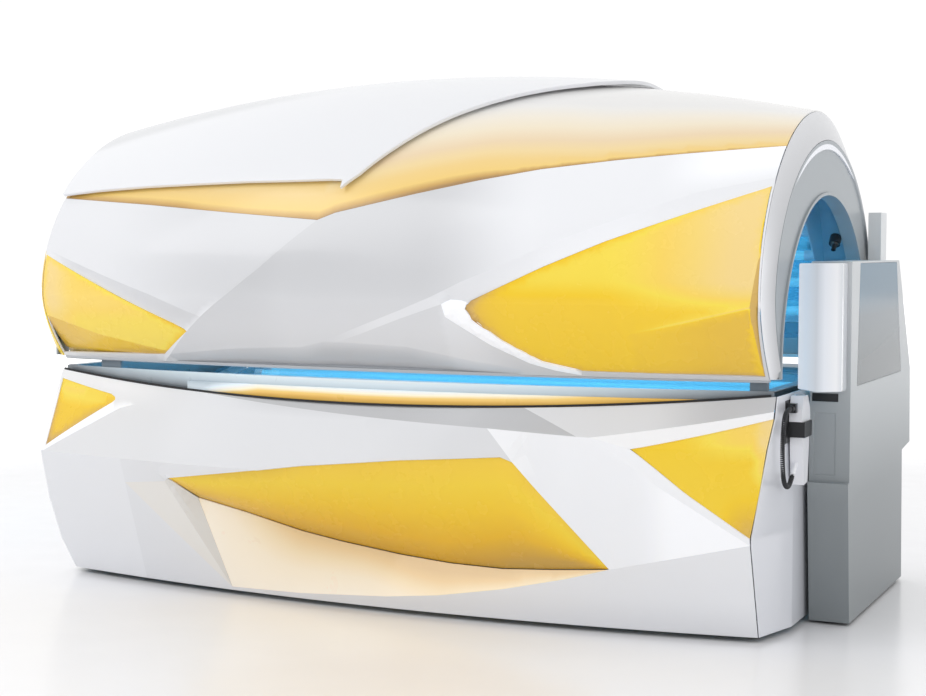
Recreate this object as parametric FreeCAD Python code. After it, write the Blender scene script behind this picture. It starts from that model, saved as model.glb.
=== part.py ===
import FreeCAD, Part
import math
import os

V = FreeCAD.Vector
os.makedirs("parts", exist_ok=True)

# Clamshell tanning bed, millimetres.  Bed coordinates: +X along the bed to its foot
# end with x = 0 at mid length, +Y from front to back with y = 0 at the plinth line
# below mid length, +Z up with z = 0 on the floor.  The pieces are modelled in bed
# coordinates and moved to the frame's origin when they are exported.

# ------------------------------------------------------------ driving dimensions
GAP = 0.5                 # clearance between neighbouring pieces
WALL = 4.0                # moulded cover wall
LENS_WALL = 5.0           # wall of the translucent yellow lenses
STATION = 90.0            # spacing of the flats that follow the bowed front
REACH = 3000.0            # longer than the bed, for cutting tools

# length of the bed, set by its lamps
LAMP_HALF = 965.0         # half length of a lamp tube
SOCKET = 32.0             # lamp holder length
BULKHEAD = 4.0            # end plate that carries the lamp holders
WIRE_ROOM = 111.0         # between the bulkheads and the canopy's ends
CAN_HALF = LAMP_HALF + SOCKET + BULKHEAD + WIRE_ROOM    # canopy shell, to the end rings
END_HALF = CAN_HALF + 4 * WALL                      # end faces of the base
BASE_HALF = END_HALF - 42.0                         # front corners of the plinth

# base, outside
BOW = 100.0               # how far the front bows forward at mid length
RIM_MID_Z = 577.0         # rim height at mid length
RIM_LIFT = 55.0           # how much higher the rim is at the ends
RIM_END_Z = RIM_MID_Z + RIM_LIFT
NOSE_Z = RIM_MID_Z * 390 / 577      # height of the foremost line of the base front
NOSE_OUT = 130.0          # how far that line stands out past the plinth line
RIM_OUT = 20.0            # how far the rim stands out at the ends
SKIRT_Z = 14.0            # height of the covers above the floor
BASE_BACK = 1128.0        # back face of the base
CORNER_Y = 255.0          # where an end face starts behind its long corner chamfer

# bench acrylic, which the base and the tunnel are built round
BENCH_FRONT = 112.0       # front edge
BENCH_REAR = BASE_BACK - 48.0
BENCH_HALF = END_HALF - 40.0
BENCH_EDGE_Z = RIM_END_Z - 4.0      # height at its long edges
BENCH_SAG = 75.0          # how far its middle lies below its edges

# base, inside
POST_TOP = BENCH_EDGE_Z - BENCH_SAG - 83.0
RAIL = 50.0               # frame tube
RAIL_WALL = 3.0
RAIL_X = END_HALF - 88.0  # half length of the base frame
RAIL_Y0 = 180.0
RAIL_Y1 = BASE_BACK - WALL - GAP
FOOT_H = 22.0
FOOT_R = 30.0
STEM_R = 8.0
TRAY_T = 2.0
BALLASTS = 8
BALLAST_PITCH = 230.0
BALLAST_W = 80.0
BALLAST_L = 180.0
BALLAST_H = 45.0
BALLAST_Y = 300.0
FAN_X = 420.0
FAN_Z = 300.0
FAN_R = 82.0              # bore of a fan frame
FAN_DEPTH = 38.0
FAN_BLADES = 7
HUB_R = 26.0
SHAFT_R = 4.0
FAN_SLOTS = 9             # outlet slots behind each fan
FAN_SLOT = 10.0
FAN_SLOT_PITCH = 18.0
INLET_X = 168.0 - END_HALF
INLET_Z = 120.0
INLET_R = 17.0
COOLER_X = (RAIL_X - 480.0, RAIL_X - 140.0)
COOLER_Y = (560.0, 980.0)
COOLER_H = 300.0

# tunnel arch
TUN_Y = (BENCH_FRONT + BENCH_REAR) / 2 - 18.0       # centre line of the tunnel
TUN_A = (BENCH_REAR - BENCH_FRONT) / 2 + 6.0        # half width of the opening in a ring
TUN_B = 452.0             # rise of the opening in a ring

# canopy, outside
CAN_Y = TUN_Y - 6.0       # centre line of the arch
CAN_DEPTH = TUN_A + 95.0  # depth of the front half of the arch at the ends
CAN_RISE = TUN_B + 56.0   # rise of the arch above the nose at the ends
CAN_EDGE_Z = RIM_END_Z + 44.0       # lower edge
CAN_NOSE_Z = CAN_EDGE_Z + 194.0     # height of the foremost line
CAN_CROWN = 117.0         # extra rise at mid length
CAN_POWER = 1.88          # exponent of the superellipse
CAN_EDGE_IN = 98.0        # how far the lower edge lies behind the nose
CAN_BACK = BASE_BACK + 4.0          # back wall of the canopy
SHELL = 5.0               # canopy shell wall
LIP = 12.0                # how far the raised wing stands off the shell
RING_OUT = 28.0           # how far an end ring stands out past the shell
RING_RISE = CAN_RISE - 78.0         # rise of the ring's outer crease above the nose
RING_DEPTH = CAN_DEPTH - 32.0       # depth of the front half of that crease

# tunnel
TUN_Z = CAN_EDGE_Z + 24.0           # height of its widest line
TUN_LOW = CAN_EDGE_Z + 52.0         # lower edge of the tunnel acrylic
TUN_STEP = 8.0            # how far the acrylic lies outside the ring's opening
ACRYLIC = 5.0             # acrylic sheet
LAMP_R = 14.0             # lamp tube radius
LAMP_WALL = 1.0
CAN_LAMPS = 15
LAMP_SWEEP = 13.0         # angle of the first lamp above the widest line, degrees
BENCH_LAMPS = 15
LAMP_PITCH = 65.0         # spacing of the bench lamps
LAMP_OFF = 34.0           # lamp centre behind the acrylic
REFL_OFF = 60.0           # reflector behind the acrylic
REFL_WALL = 1.5
REFL_LOW = TUN_LOW + 87.0 # lower edge of the canopy reflector
SILL_HALF = LAMP_HALF + 30.0    # half length of the sills below the tunnel acrylic
TRIM_W = 30.0             # width of the trims under the canopy's long edges
TRIM_H = 9.5

# bench
DECK_Z = RIM_END_Z + 13.0 # straight upper edge of the bench rim
DECK_IN = 14.0            # bench rim behind the panel's upper edge
GLOW_LOW = RIM_MID_Z - 11.0     # light strip, lower edge
GLOW_TOP = RIM_END_Z - 12.0     # light strip, upper edge
GLOW_X0 = -0.53 * END_HALF
GLOW_X1 = 0.85 * END_HALF
GLOW_T = 6.0
LEDGE_IN = 13.0           # how far the ledges reach under the acrylic
REST_PADS = ((-0.83 * CAN_HALF, 42.0), (CAN_HALF - 32.0, 22.0))     # middle and half length

# tower at the foot end
WIN_Z = RIM_END_Z + 6.0   # sill of the side window
TOW_X0 = END_HALF + 18.0
TOW_X1 = TOW_X0 + 108.0
TOW_TOP = WIN_Z + 332.0
TOW_WALL = 4.0
TOW_LOW = 8.0             # tower's lower edge above the floor
TOW_FRONT = 345.0         # front of the lower box at its ledge
TOW_FRONT_LOW = TOW_FRONT + 35.0    # front of the lower box at the floor
TOW_FRONT_TOP = TOW_FRONT + 15.0    # front of the upper part
TOW_LEDGE_Z = 385.0
TOW_BACK = BASE_BACK - 48.0         # back of the lower part
TOW_BACK_TOP = BASE_BACK + 62.0     # back of the upper part
TOW_STEP_Z = 400.0        # where the upper part steps back
TOW_CREST_Y = TOW_BACK_TOP - 205.0  # back of the tower's top
WIN_FRONT = TOW_FRONT_TOP + 80.0
WIN_BACK = TOW_BACK_TOP - 153.0
WIN_BACK_TOP = TOW_CREST_Y - 35.0
PANE = 4.0
POD_FRONT = 232.0
POD_SLANT = 70.0
POD_X1 = TOW_X1 - 11.0
POD_Z0 = WIN_Z - 6.0
POD_Z1 = TOW_TOP - 4.0
SLOT_Z0 = WIN_Z - 38.0
SLOT_Z1 = SLOT_Z0 + 22.0
DUCT_X = (TOW_X0 + 6.0, TOW_X0 + 44.0)
DUCT_Y = (TOW_BACK - 50.0, TOW_BACK + 30.0)
DUCT_TOP = TOW_TOP + 142.0
DUCT_WALL = 2.0
SHELF_Z = WIN_Z - 8.0           # shelf behind the side window
BOSS_Z = (150.0, 250.0)   # spacers between the tower and the bed

# handset on the end cover
HAND_X = (END_HALF + 8.0, END_HALF + 42.0)
CLIP_Y = (198.0, 262.0)   # narrow waist that the clip holds
CLIP_Z = (RIM_END_Z - 112.0, RIM_END_Z - 72.0)
CLIP_WALL = 5.5
KEY_X = END_HALF + 24.0
KEY_Y = CLIP_Y[0] + 27.0
HAND_TOP = CLIP_Z[1] + 66.0
KEY_R = 9.0
CORD_X = END_HALF + 21.0
CORD_R = 6.5
CORD_Y = CLIP_Y[0] - 48.0 # mouth of the gland
CORD_Z = CLIP_Z[1] + 37.0
CORD_RUNS = [(36.0, 180.0), (40.0, 222.0), (72.0, 262.0), (72.0, 278.0), (40.0, 318.0),
             (36.0, 360.0), (36.0, 402.0)]

# hinge and lift
AXIS_Y = CAN_BACK + 18.0
AXIS_Z = CAN_EDGE_Z - 24.0
PIN_R = 8.0
PIN_FIT = 0.05
KNUCKLE_R = 15.0
HINGE_X = 820.0
STRUT_X = 560.0
FOOT_Y = AXIS_Y + 16.0
FOOT_Z = 200.0
HEAD_Z = AXIS_Z + 48.0
CYL_R = 11.0
ROD_R = 5.0
CYL_L = 300.0
EYE_R = 12.0
EYE_T = 8.0
HEAD_PLAY = 5.0           # the upper eyes hang loosely on the canopy's studs
EAR_X = 20.0
EAR_T = 10.0
EAR_Z = AXIS_Z - 52.0
ARM_X = 14.0
PLATE = 5.0

# controls and air nozzle
CONSOLE_X = (120.0, 360.0)
CONSOLE_Y = (TUN_Y - 55.0, TUN_Y + 55.0)
CONSOLE_Z = TUN_Z + TUN_B - 10.0
CONSOLE_H = 14.8
START_X = 180.0
FAN_KEY_X = 300.0
BUTTON_R = 12.0
BUTTON_PLAY = 0.3
BUTTON_TRAVEL = 1.5
NOZZLE_X = CAN_HALF - 30.0
NOZZLE_ANGLE = 47.5       # place on the acrylic arch, degrees above the rear
NOZZLE_OFF = 24.0         # ball centre inside the acrylic
BALL_R = 12.0
TRUNNION_R = 2.5
SPOUT_R = 7.0
SPOUT_L = 27.0
SOCKET_R = 17.0

# rails inside the canopy: lower front corner and upper rear corner, y and z
CANOPY_RAILS = [
    ((CAN_Y - 14.0, CONSOLE_Z + 96.0), (CAN_Y + 26.0, CONSOLE_Z + 136.0)),
    ((CAN_Y - CAN_DEPTH + 28.0, CAN_NOSE_Z + 60.0), (CAN_Y - CAN_DEPTH + 63.0, CAN_NOSE_Z + 95.0)),
    ((CAN_BACK - 48.0, CAN_NOSE_Z + 60.0), (CAN_BACK - 22.0, CAN_NOSE_Z + 95.0)),
    ((CAN_BACK - 40.0, CAN_EDGE_Z + 64.0), (CAN_BACK - 5.3, CAN_EDGE_Z + 99.0))]

PIECES = {}


# ------------------------------------------------------------------- basic shapes
def save(name, *shapes):
    solids = [s for shape in shapes for s in shape.Solids]
    PIECES[name] = Part.makeCompound(solids) if len(solids) > 1 else solids[0]


def export_all():
    """Puts the origin under the middle of the whole bed's box and writes the pieces."""
    front = min(v.Y for v in PIECES["base_front_panel"].Vertexes)
    shift = V(-(TOW_X1 - CAN_HALF - RING_OUT) / 2.0, -(TOW_BACK_TOP + front) / 2.0, 0)
    for name, shape in PIECES.items():
        shape.translate(shift)
        shape.exportStep("parts/" + name + ".step")
        box = shape.BoundBox
        print("%-22s %3d %-5s x %6.0f %6.0f  y %6.0f %6.0f  z %6.0f %6.0f" % (
            name, len(shape.Solids), shape.isValid(), box.XMin, box.XMax,
            box.YMin, box.YMax, box.ZMin, box.ZMax))


def block(x0, x1, y0, y1, z0, z1):
    return Part.makeBox(x1 - x0, y1 - y0, z1 - z0, V(x0, y0, z0))


def rod_x(y, z, r, x0, x1):
    return Part.makeCylinder(r, x1 - x0, V(x0, y, z), V(1, 0, 0))


def rod_y(x, z, r, y0, y1):
    return Part.makeCylinder(r, y1 - y0, V(x, y0, z), V(0, 1, 0))


def rod_z(x, y, r, z0, z1):
    return Part.makeCylinder(r, z1 - z0, V(x, y, z0), V(0, 0, 1))


def box_tube(x0, x1, y0, y1, z0, z1, wall):
    """Rectangular tube, open at both ends of its longest side."""
    sizes = (x1 - x0, y1 - y0, z1 - z0)
    mx, my, mz = [-1.0 if size == max(sizes) else wall for size in sizes]
    outer = block(x0, x1, y0, y1, z0, z1)
    return outer.cut(block(x0 + mx, x1 - mx, y0 + my, y1 - my, z0 + mz, z1 - mz))


def rod_between(a, b, r):
    return Part.makeCylinder(r, (b - a).Length, a, b - a)


def slab_x(points, x0, x1):
    """Prism along X of a closed outline of (y, z) points."""
    wire = Part.makePolygon([V(x0, y, z) for y, z in points + points[:1]])
    return Part.Face(wire).extrude(V(x1 - x0, 0, 0))


def slab_y(points, y0, y1):
    """Prism along Y of a closed outline of (x, z) points."""
    wire = Part.makePolygon([V(x, y0, z) for x, z in points + points[:1]])
    return Part.Face(wire).extrude(V(0, y1 - y0, 0))


def slab_z(points, z0, z1):
    """Prism along Z of a closed outline of (x, y) points."""
    wire = Part.makePolygon([V(x, y, z0) for x, y in points + points[:1]])
    return Part.Face(wire).extrude(V(0, 0, z1 - z0))


def fused(*shapes):
    return shapes[0].multiFuse(list(shapes[1:])).removeSplitter()


# ---------------------------------------------------- plates made of flat facets
def solid_of(faces):
    return Part.makeSolid(Part.makeShell(faces))


def flat_faces(loop):
    """One face for a flat loop of points, or two triangles for a twisted one."""
    points = []
    for p in loop:
        if not points or (p - points[-1]).Length > 1e-6:
            points.append(p)
    if (points[0] - points[-1]).Length < 1e-6:
        points.pop()
    if len(points) < 3:
        return []
    if len(points) == 4:
        normal = (points[1] - points[0]).cross(points[2] - points[0])
        if abs(normal.dot(points[3] - points[0])) > 1e-6 * normal.Length:
            halves = [[points[0], points[1], points[2]], [points[0], points[2], points[3]]]
            return [Part.Face(Part.makePolygon(h + h[:1])) for h in halves]
    return [Part.Face(Part.makePolygon(points + points[:1]))]


def tube_of(sections):
    """Closed solid through closed sections with the same number of points."""
    faces = flat_caps(sections[0]) + flat_caps(sections[-1])
    for a, b in zip(sections, sections[1:]):
        for i in range(len(a)):
            j = (i + 1) % len(a)
            faces += flat_faces([a[i], a[j], b[j], b[i]])
    return solid_of(faces)


def flat_caps(section):
    return [Part.Face(Part.makePolygon(section + section[:1]))]


def bow(x):
    return BOW * (x / BASE_HALF) ** 2


def rim_lift(x, z):
    """Raises the upper front towards the ends, where the rim is higher."""
    share = max(0.0, (z - NOSE_Z) / (RIM_MID_Z - NOSE_Z))
    return (RIM_END_Z - RIM_MID_Z) * (x / END_HALF) ** 2 * share


def slope_out(z):
    """How far the base front stands in front of the plinth line at height z."""
    if z < NOSE_Z:
        return -NOSE_OUT * z / NOSE_Z
    return -NOSE_OUT + (NOSE_OUT - RIM_OUT) * (z - NOSE_Z) / (RIM_END_Z - NOSE_Z)


def drawn(x, z):
    """Facet corners are drawn on a base of half length 1086 with its nose at 390."""
    return round(x * BASE_HALF / 1086.0, 3), z * NOSE_Z / 390.0


def corner(x, z, depth=0.0):
    """Corner of a facet: station, height, and how far it stands behind the plinth line.
    depth is how far it is recessed behind the plain slope of the front."""
    x, z = drawn(x, z)
    return x, z, slope_out(z + rim_lift(x, z)) + depth


def at(chain, x):
    """Height and setback of a chain of corners at one station."""
    for (xa, za, ya), (xb, zb, yb) in zip(chain, chain[1:]):
        if xa - 1e-6 <= x <= xb + 1e-6:
            t = (x - xa) / (xb - xa)
            return za + t * (zb - za), ya + t * (yb - ya)
    return None


def on_front(x, z, setback, inward=0.0):
    return V(x, bow(x) + setback + inward, z + rim_lift(x, z))


def stations(chains):
    """Every corner of the facets, and steps small enough to follow the bow."""
    marks = sorted({round(p[0], 3) for chain in chains for p in chain})
    steps = []
    for a, b in zip(marks, marks[1:]):
        n = max(1, math.ceil((b - a) / STATION))
        steps += [a + (b - a) * i / n for i in range(n)]
    return steps + marks[-1:]


def facet_plate(facets, wall, inward=0.0, like=None):
    """Plate of given wall made of facets, each between an upper and a lower chain.
    like names the facets whose stations it shares."""
    xs = stations([chain for facet in like or facets for chain in facet])
    outer = []
    for upper, lower in facets:
        for a, b in zip(xs, xs[1:]):
            ends = [at(lower, a), at(lower, b), at(upper, b), at(upper, a)]
            if None not in ends:
                outer.append([(x, z, y) for x, (z, y) in zip((a, b, b, a), ends)])
    return thick(outer, lambda p, deep: on_front(*p, inward + wall * deep))


def thick(loops, place):
    """Solid between a sheet of loops and its copy; place(point, 0 or 1) gives both."""
    faces = []
    edges = {}
    for loop in loops:
        clean = []
        for p in loop:
            if not clean or max(abs(u - v) for u, v in zip(p, clean[-1])) > 1e-6:
                clean.append(p)
        if max(abs(u - v) for u, v in zip(clean[0], clean[-1])) < 1e-6:
            clean.pop()
        if len(clean) < 3:
            continue
        for deep in (0, 1):
            faces += flat_faces([place(p, deep) for p in clean])
        for p, q in zip(clean, clean[1:] + clean[:1]):
            key = frozenset((tuple(round(c, 4) for c in p), tuple(round(c, 4) for c in q)))
            edges.setdefault(key, []).append((p, q))
    for used in edges.values():
        if len(used) == 1:
            p, q = used[0]
            faces += flat_faces([place(p, 0), place(q, 0), place(q, 1), place(p, 1)])
    return solid_of(faces)


# ------------------------------------------------------------- canopy shell skins
def can_point(x, angle, inset=0.0):
    """Point of the canopy's arch; angle runs from 0 at the front nose to 180 behind."""
    share = 1.0 - (x / CAN_HALF) ** 2
    front = angle < 90.0
    depth = CAN_DEPTH + BOW * share if front else CAN_BACK - CAN_Y
    depth -= inset
    rise = CAN_RISE + CAN_CROWN * share - inset
    c = math.cos(math.radians(angle))
    s = math.sin(math.radians(angle))
    y = CAN_Y - depth * math.copysign(abs(c) ** (2.0 / CAN_POWER), c)
    return V(x, y, CAN_NOSE_Z + rise * s ** (2.0 / CAN_POWER))


def can_nose(x, inset=0.0):
    return CAN_Y - CAN_DEPTH - BOW * (1.0 - (x / CAN_HALF) ** 2) + inset


def can_outline(x, inset=0.0, low=CAN_EDGE_Z):
    """Cross-section curve from the lower front edge over the top to the lower back."""
    nose = can_nose(x, inset)
    drop = CAN_NOSE_Z - low
    skirt = []
    for t in (1.0, 0.72, 0.42, 0.18):
        skirt.append(V(x, nose + CAN_EDGE_IN * t ** 1.7, CAN_NOSE_Z - drop * t))
    arch = [can_point(x, a, inset) for a in (0.001, 12, 26, 40, 55, 72, 90, 108, 125, 140,
                                             154, 168, 179.999)]
    back = [V(x, CAN_BACK - inset, CAN_NOSE_Z - drop * t) for t in (0.35, 0.7, 1.0)]
    curve = Part.BSplineCurve()
    curve.interpolate(skirt + arch + back)
    return curve


def can_skin(inset, wall, half=CAN_HALF, low=CAN_EDGE_Z):
    """Arched skin of the canopy, as a solid."""
    wires = []
    for i in range(9):
        x = -half + half * i / 4.0
        outer = can_outline(x, inset, low)
        inner = can_outline(x, inset + wall, low)
        a, b = outer.StartPoint, outer.EndPoint
        c, d = inner.StartPoint, inner.EndPoint
        wires.append(Part.Wire([outer.toShape(), Part.makeLine(b, d),
                                inner.toShape(), Part.makeLine(c, a)]))
    return Part.makeLoft(wires, True, False)


# ------------------------------------------------------------- base, front facets
# corners of the faceted front: station, height, recess behind the plain slope
LEFT_FOOT = corner(-1090, 14)
LEFT_LOW = corner(-1125, 110)
LEFT_MID = corner(-1135, 240)
LEFT_NOSE = corner(-1122, 390)
LEFT_RIM = corner(-1124, 577)
RIGHT_RIM = corner(1128, 577)
RIGHT_BEVEL = corner(1128, 549)
RIGHT_BORDER = corner(1128, 536)
RIGHT_FOLD = corner(1120, 478)
RIGHT_TIP = corner(1086, 281)
RIGHT_KNEE = corner(1086, 264)
RIGHT_FOOT = corner(1086, 14)
BEVEL_START = corner(-520, 577)
BEVEL_MID = corner(138, 541)
BEVEL_FOLD = corner(393, 527)
BEVEL_END = corner(639, 509)
BEVEL_TOP = corner(486, 577)
BORDER_TIP = corner(672, 507)
RIGHT_APEX = corner(783, 482)
NOSE_END = corner(-280, 390)
NOSE_KNEE = corner(-782, 390)
WINDOW = [corner(-610, 343), corner(-140, 410), corner(162, 441), corner(443, 459),
          corner(479, 448), corner(724, 178)]
FACET_TIP = corner(-782, 317)
FACET_TOP = corner(-634, 330, 14)
SCOOP_FOOT = corner(-450, 24)
SCOOP_EDGE = [SCOOP_FOOT, corner(-212, 30), corner(71, 48), corner(231, 66),
              corner(422, 100), corner(604, 143), WINDOW[-1]]
WINDOW_SILL = [WINDOW[0], corner(-540, 284, 40), corner(-393, 249, 63),
               corner(-216, 203, 81), corner(-95, 182, 86), corner(89, 158, 87),
               corner(248, 148, 71), corner(406, 148, 52), corner(562, 162, 24),
               WINDOW[-1]]
BOTTOM_KNEE = corner(-782, 14)
BOTTOM_STEP = corner(-450, 14)

PANEL_FACETS = [
    ([LEFT_RIM, BEVEL_START, BEVEL_MID, BEVEL_FOLD, WINDOW[4]],
     [LEFT_NOSE, NOSE_KNEE, NOSE_END] + WINDOW[1:5]),
    ([BEVEL_START, BEVEL_TOP, BEVEL_END], [BEVEL_START, BEVEL_MID, BEVEL_FOLD, BEVEL_END]),
    ([BEVEL_TOP, RIGHT_RIM], [BEVEL_TOP, BEVEL_END, BORDER_TIP, RIGHT_BEVEL]),
    ([BEVEL_FOLD, BEVEL_END, BORDER_TIP, RIGHT_KNEE], [BEVEL_FOLD] + WINDOW[4:] + [RIGHT_KNEE]),
    ([BORDER_TIP, RIGHT_BEVEL], [BORDER_TIP, RIGHT_APEX, RIGHT_BORDER]),
    ([BORDER_TIP, RIGHT_APEX, RIGHT_TIP], [BORDER_TIP, RIGHT_KNEE]),
    (SCOOP_EDGE + [RIGHT_KNEE], [BOTTOM_STEP, RIGHT_FOOT]),
    ([LEFT_MID, LEFT_NOSE, NOSE_KNEE], [LEFT_MID, FACET_TIP]),
    ([LEFT_MID, FACET_TIP], [LEFT_MID, LEFT_LOW, LEFT_FOOT, BOTTOM_KNEE]),
    ([FACET_TIP, SCOOP_FOOT], [BOTTOM_KNEE, BOTTOM_STEP]),
    ([NOSE_KNEE, NOSE_END], [FACET_TIP, FACET_TOP, WINDOW[0], NOSE_END]),
    ([FACET_TIP, FACET_TOP, SCOOP_FOOT], [FACET_TIP, SCOOP_FOOT]),
    ([FACET_TOP] + WINDOW_SILL[:2] + [SCOOP_FOOT], [FACET_TOP, SCOOP_FOOT]),
]
LEFT_LENS = [(-1112, 558), (-866, 540), (-860, 528), (-1108, 402)]
RIGHT_LENS = [([RIGHT_APEX, RIGHT_BORDER], [RIGHT_APEX, RIGHT_FOLD, RIGHT_BORDER]),
              ([RIGHT_APEX, RIGHT_FOLD], [RIGHT_APEX, RIGHT_TIP, RIGHT_FOLD])]


def true_z(x, z):
    return z + rim_lift(x, z)


def shrunk(points, share):
    """Outline drawn in towards its middle."""
    u = sum(p[0] for p in points) / len(points)
    v = sum(p[1] for p in points) / len(points)
    return [(u + (p[0] - u) * share, v + (p[1] - v) * share) for p in points]


def base_front():
    hole = [(x, true_z(x, z)) for x, z in shrunk([drawn(*p) for p in LEFT_LENS], 0.94)]
    panel = facet_plate(PANEL_FACETS, WALL)
    save("base_front_panel", panel.cut(slab_y(hole, -2 * NOSE_OUT, CORNER_Y)))
    save("base_window_lens", facet_plate([(WINDOW, WINDOW_SILL)], LENS_WALL, WALL + GAP))
    edge = [WINDOW_SILL[1]] + SCOOP_EDGE
    save("base_scoop", facet_plate([(WINDOW_SILL[1:], edge)], WALL))
    behind = facet_plate(PANEL_FACETS[:1], LENS_WALL, WALL + GAP, PANEL_FACETS)
    outline = [(x, true_z(x, z)) for x, z in [drawn(*p) for p in LEFT_LENS]]
    save("base_lens_left", behind.common(slab_y(outline, -2 * NOSE_OUT, CORNER_Y)))
    save("base_lens_right", facet_plate(RIGHT_LENS, LENS_WALL, WALL + GAP))


def end_cover(side):
    """End face with its long corner chamfer, behind the front panel's end edge."""
    near = WALL + GAP
    behind_lens = near + LENS_WALL + GAP
    if side > 0:
        edge = [(RIGHT_FOOT, near), (RIGHT_KNEE, near), (RIGHT_TIP, behind_lens),
                (RIGHT_FOLD, behind_lens), (RIGHT_BORDER, behind_lens), (RIGHT_RIM, near)]
    else:
        edge = [(p, near) for p in (LEFT_FOOT, LEFT_LOW, LEFT_MID, LEFT_NOSE, LEFT_RIM)]
    front = [on_front(*p, inward) for p, inward in edge]
    back = [V(side * END_HALF, CORNER_Y, p.z) for p in front]
    rear = [V(side * END_HALF, BASE_BACK, p.z) for p in front]
    triangles = []
    for near_row, far_row in ((front, back), (back, rear)):
        for i in range(len(front) - 1):
            loop = [tuple(p) for p in (near_row[i], far_row[i], far_row[i + 1], near_row[i + 1])]
            triangles += [loop[:3], [loop[0], loop[2], loop[3]]]
    return thick(triangles, lambda p, deep: V(p[0] - side * WALL * deep, p[1], p[2]))


def base_covers():
    save("base_end_cover_left", end_cover(-1))
    save("base_end_cover_right", end_cover(1))
    inside = END_HALF - WALL - GAP
    cover = block(-inside, inside, BASE_BACK - WALL, BASE_BACK, SKIRT_Z, RIM_END_Z)
    for side in (-1, 1):
        for row in range(FAN_SLOTS):
            z = FAN_Z + (row - (FAN_SLOTS - 1) / 2.0) * FAN_SLOT_PITCH
            x = side * FAN_X
            cover = cover.cut(block(x - FAN_R, x + FAN_R, BASE_BACK - 2 * WALL, BASE_BACK + WALL,
                                    z - FAN_SLOT / 2.0, z + FAN_SLOT / 2.0))
    cover = cover.cut(rod_y(INLET_X, INLET_Z, INLET_R + GAP, BASE_BACK - 2 * WALL, BASE_BACK + WALL))
    save("base_rear_cover", cover)
    rim = rod_y(INLET_X, INLET_Z, INLET_R + 6, BASE_BACK + 0.3, BASE_BACK + 6)
    body = rod_y(INLET_X, INLET_Z, INLET_R, BASE_BACK - 28, BASE_BACK + 6)
    save("mains_inlet", fused(rim, body).cut(rod_y(INLET_X, INLET_Z, 7, BASE_BACK - 20, BASE_BACK + 7)))


def rim_y(x):
    """Back of the front panel at its upper edge."""
    height = true_z(x, RIM_MID_Z)
    return bow(x) + slope_out(height) + WALL


def along(x0, x1, section):
    """Solid that follows the bow: section(x) gives the (y, z) corners at a station."""
    n = max(1, math.ceil((x1 - x0) / STATION))
    xs = [x0 + (x1 - x0) * i / n for i in range(n + 1)]
    return tube_of([[V(x, y, z) for y, z in section(x)] for x in xs])


def bench_z(y, below=0.0):
    """Height of the bench acrylic, or of a line a given distance below it."""
    half = (BENCH_REAR - BENCH_FRONT) / 2.0
    radius = (half ** 2 + BENCH_SAG ** 2) / (2.0 * BENCH_SAG)
    mid = (BENCH_FRONT + BENCH_REAR) / 2.0
    centre = BENCH_EDGE_Z - BENCH_SAG + radius
    return centre - math.sqrt((radius + below) ** 2 - (y - mid) ** 2)


def bench_sheet(below, wall, half, margin=0.0):
    y0, y1 = BENCH_FRONT + margin, BENCH_REAR - margin
    ym = (y0 + y1) / 2.0
    top = [V(0, y, bench_z(y, below)) for y in (y0, ym, y1)]
    low = [V(0, y, bench_z(y, below + wall)) for y in (y0, ym, y1)]
    wire = Part.Wire([Part.Arc(*top).toShape(), Part.makeLine(top[2], low[2]),
                      Part.Arc(*low[::-1]).toShape(), Part.makeLine(low[0], top[0])])
    sheet = Part.Face(wire).extrude(V(2 * half, 0, 0))
    sheet.translate(V(-half, 0, 0))
    return sheet


def deck_front(x):
    """Front face of the bench rim, behind the panel's upper edge."""
    return rim_y(x) + DECK_IN


def deck_z(x, y):
    """Height of the rim's top, which falls towards the bench."""
    front, inner = deck_front(x), BENCH_FRONT - GAP
    return DECK_Z - (DECK_Z - BENCH_EDGE_Z - 8.0) * (y - front) / (inner - front)


def bench_rim():
    ledge = bench_z(BENCH_FRONT + LEDGE_IN, ACRYLIC) - 0.3
    inner = BENCH_FRONT - GAP

    def front(x):
        y = deck_front(x)
        return [(y, GLOW_LOW), (y, DECK_Z), (inner, BENCH_EDGE_Z + 8), (inner, ledge),
                (BENCH_FRONT + LEDGE_IN, ledge), (BENCH_FRONT + LEDGE_IN, ledge - WALL),
                (y + WALL, ledge - WALL), (y + WALL, GLOW_LOW)]
    half = END_HALF - 2 * WALL - 3 * GAP
    rear = BENCH_REAR + GAP
    low = BENCH_EDGE_Z - BENCH_SAG - 20.0
    bowl = bench_sheet(-200.0, 212.0, REACH / 2, -40.0)
    solids = [along(-half, half, front)]
    for side in (-1, 1):
        x0, x1 = sorted((side * (BENCH_HALF + GAP), side * half))
        top = block(x0, x1, inner, rear, DECK_Z - WALL, DECK_Z)
        x0, x1 = sorted((side * (BENCH_HALF + GAP), side * (BENCH_HALF + GAP + WALL)))
        wall = block(x0, x1, BENCH_FRONT + LEDGE_IN + GAP, BENCH_REAR - LEDGE_IN - GAP, low, DECK_Z)
        solids.append(fused(top, wall.common(bowl)))
    back = BASE_BACK - WALL - GAP
    shelf = slab_x([(back, DECK_Z), (rear, BENCH_EDGE_Z + 8), (rear, ledge),
                    (BENCH_REAR - LEDGE_IN, ledge), (BENCH_REAR - LEDGE_IN, ledge - WALL),
                    (back, ledge - WALL)], -half, half)
    hollow = block(-half + WALL, half - WALL, rear + WALL, back + WALL, ledge, BENCH_EDGE_Z)
    solids.append(shelf.cut(hollow))
    save("bench_rim", *solids)


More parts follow.
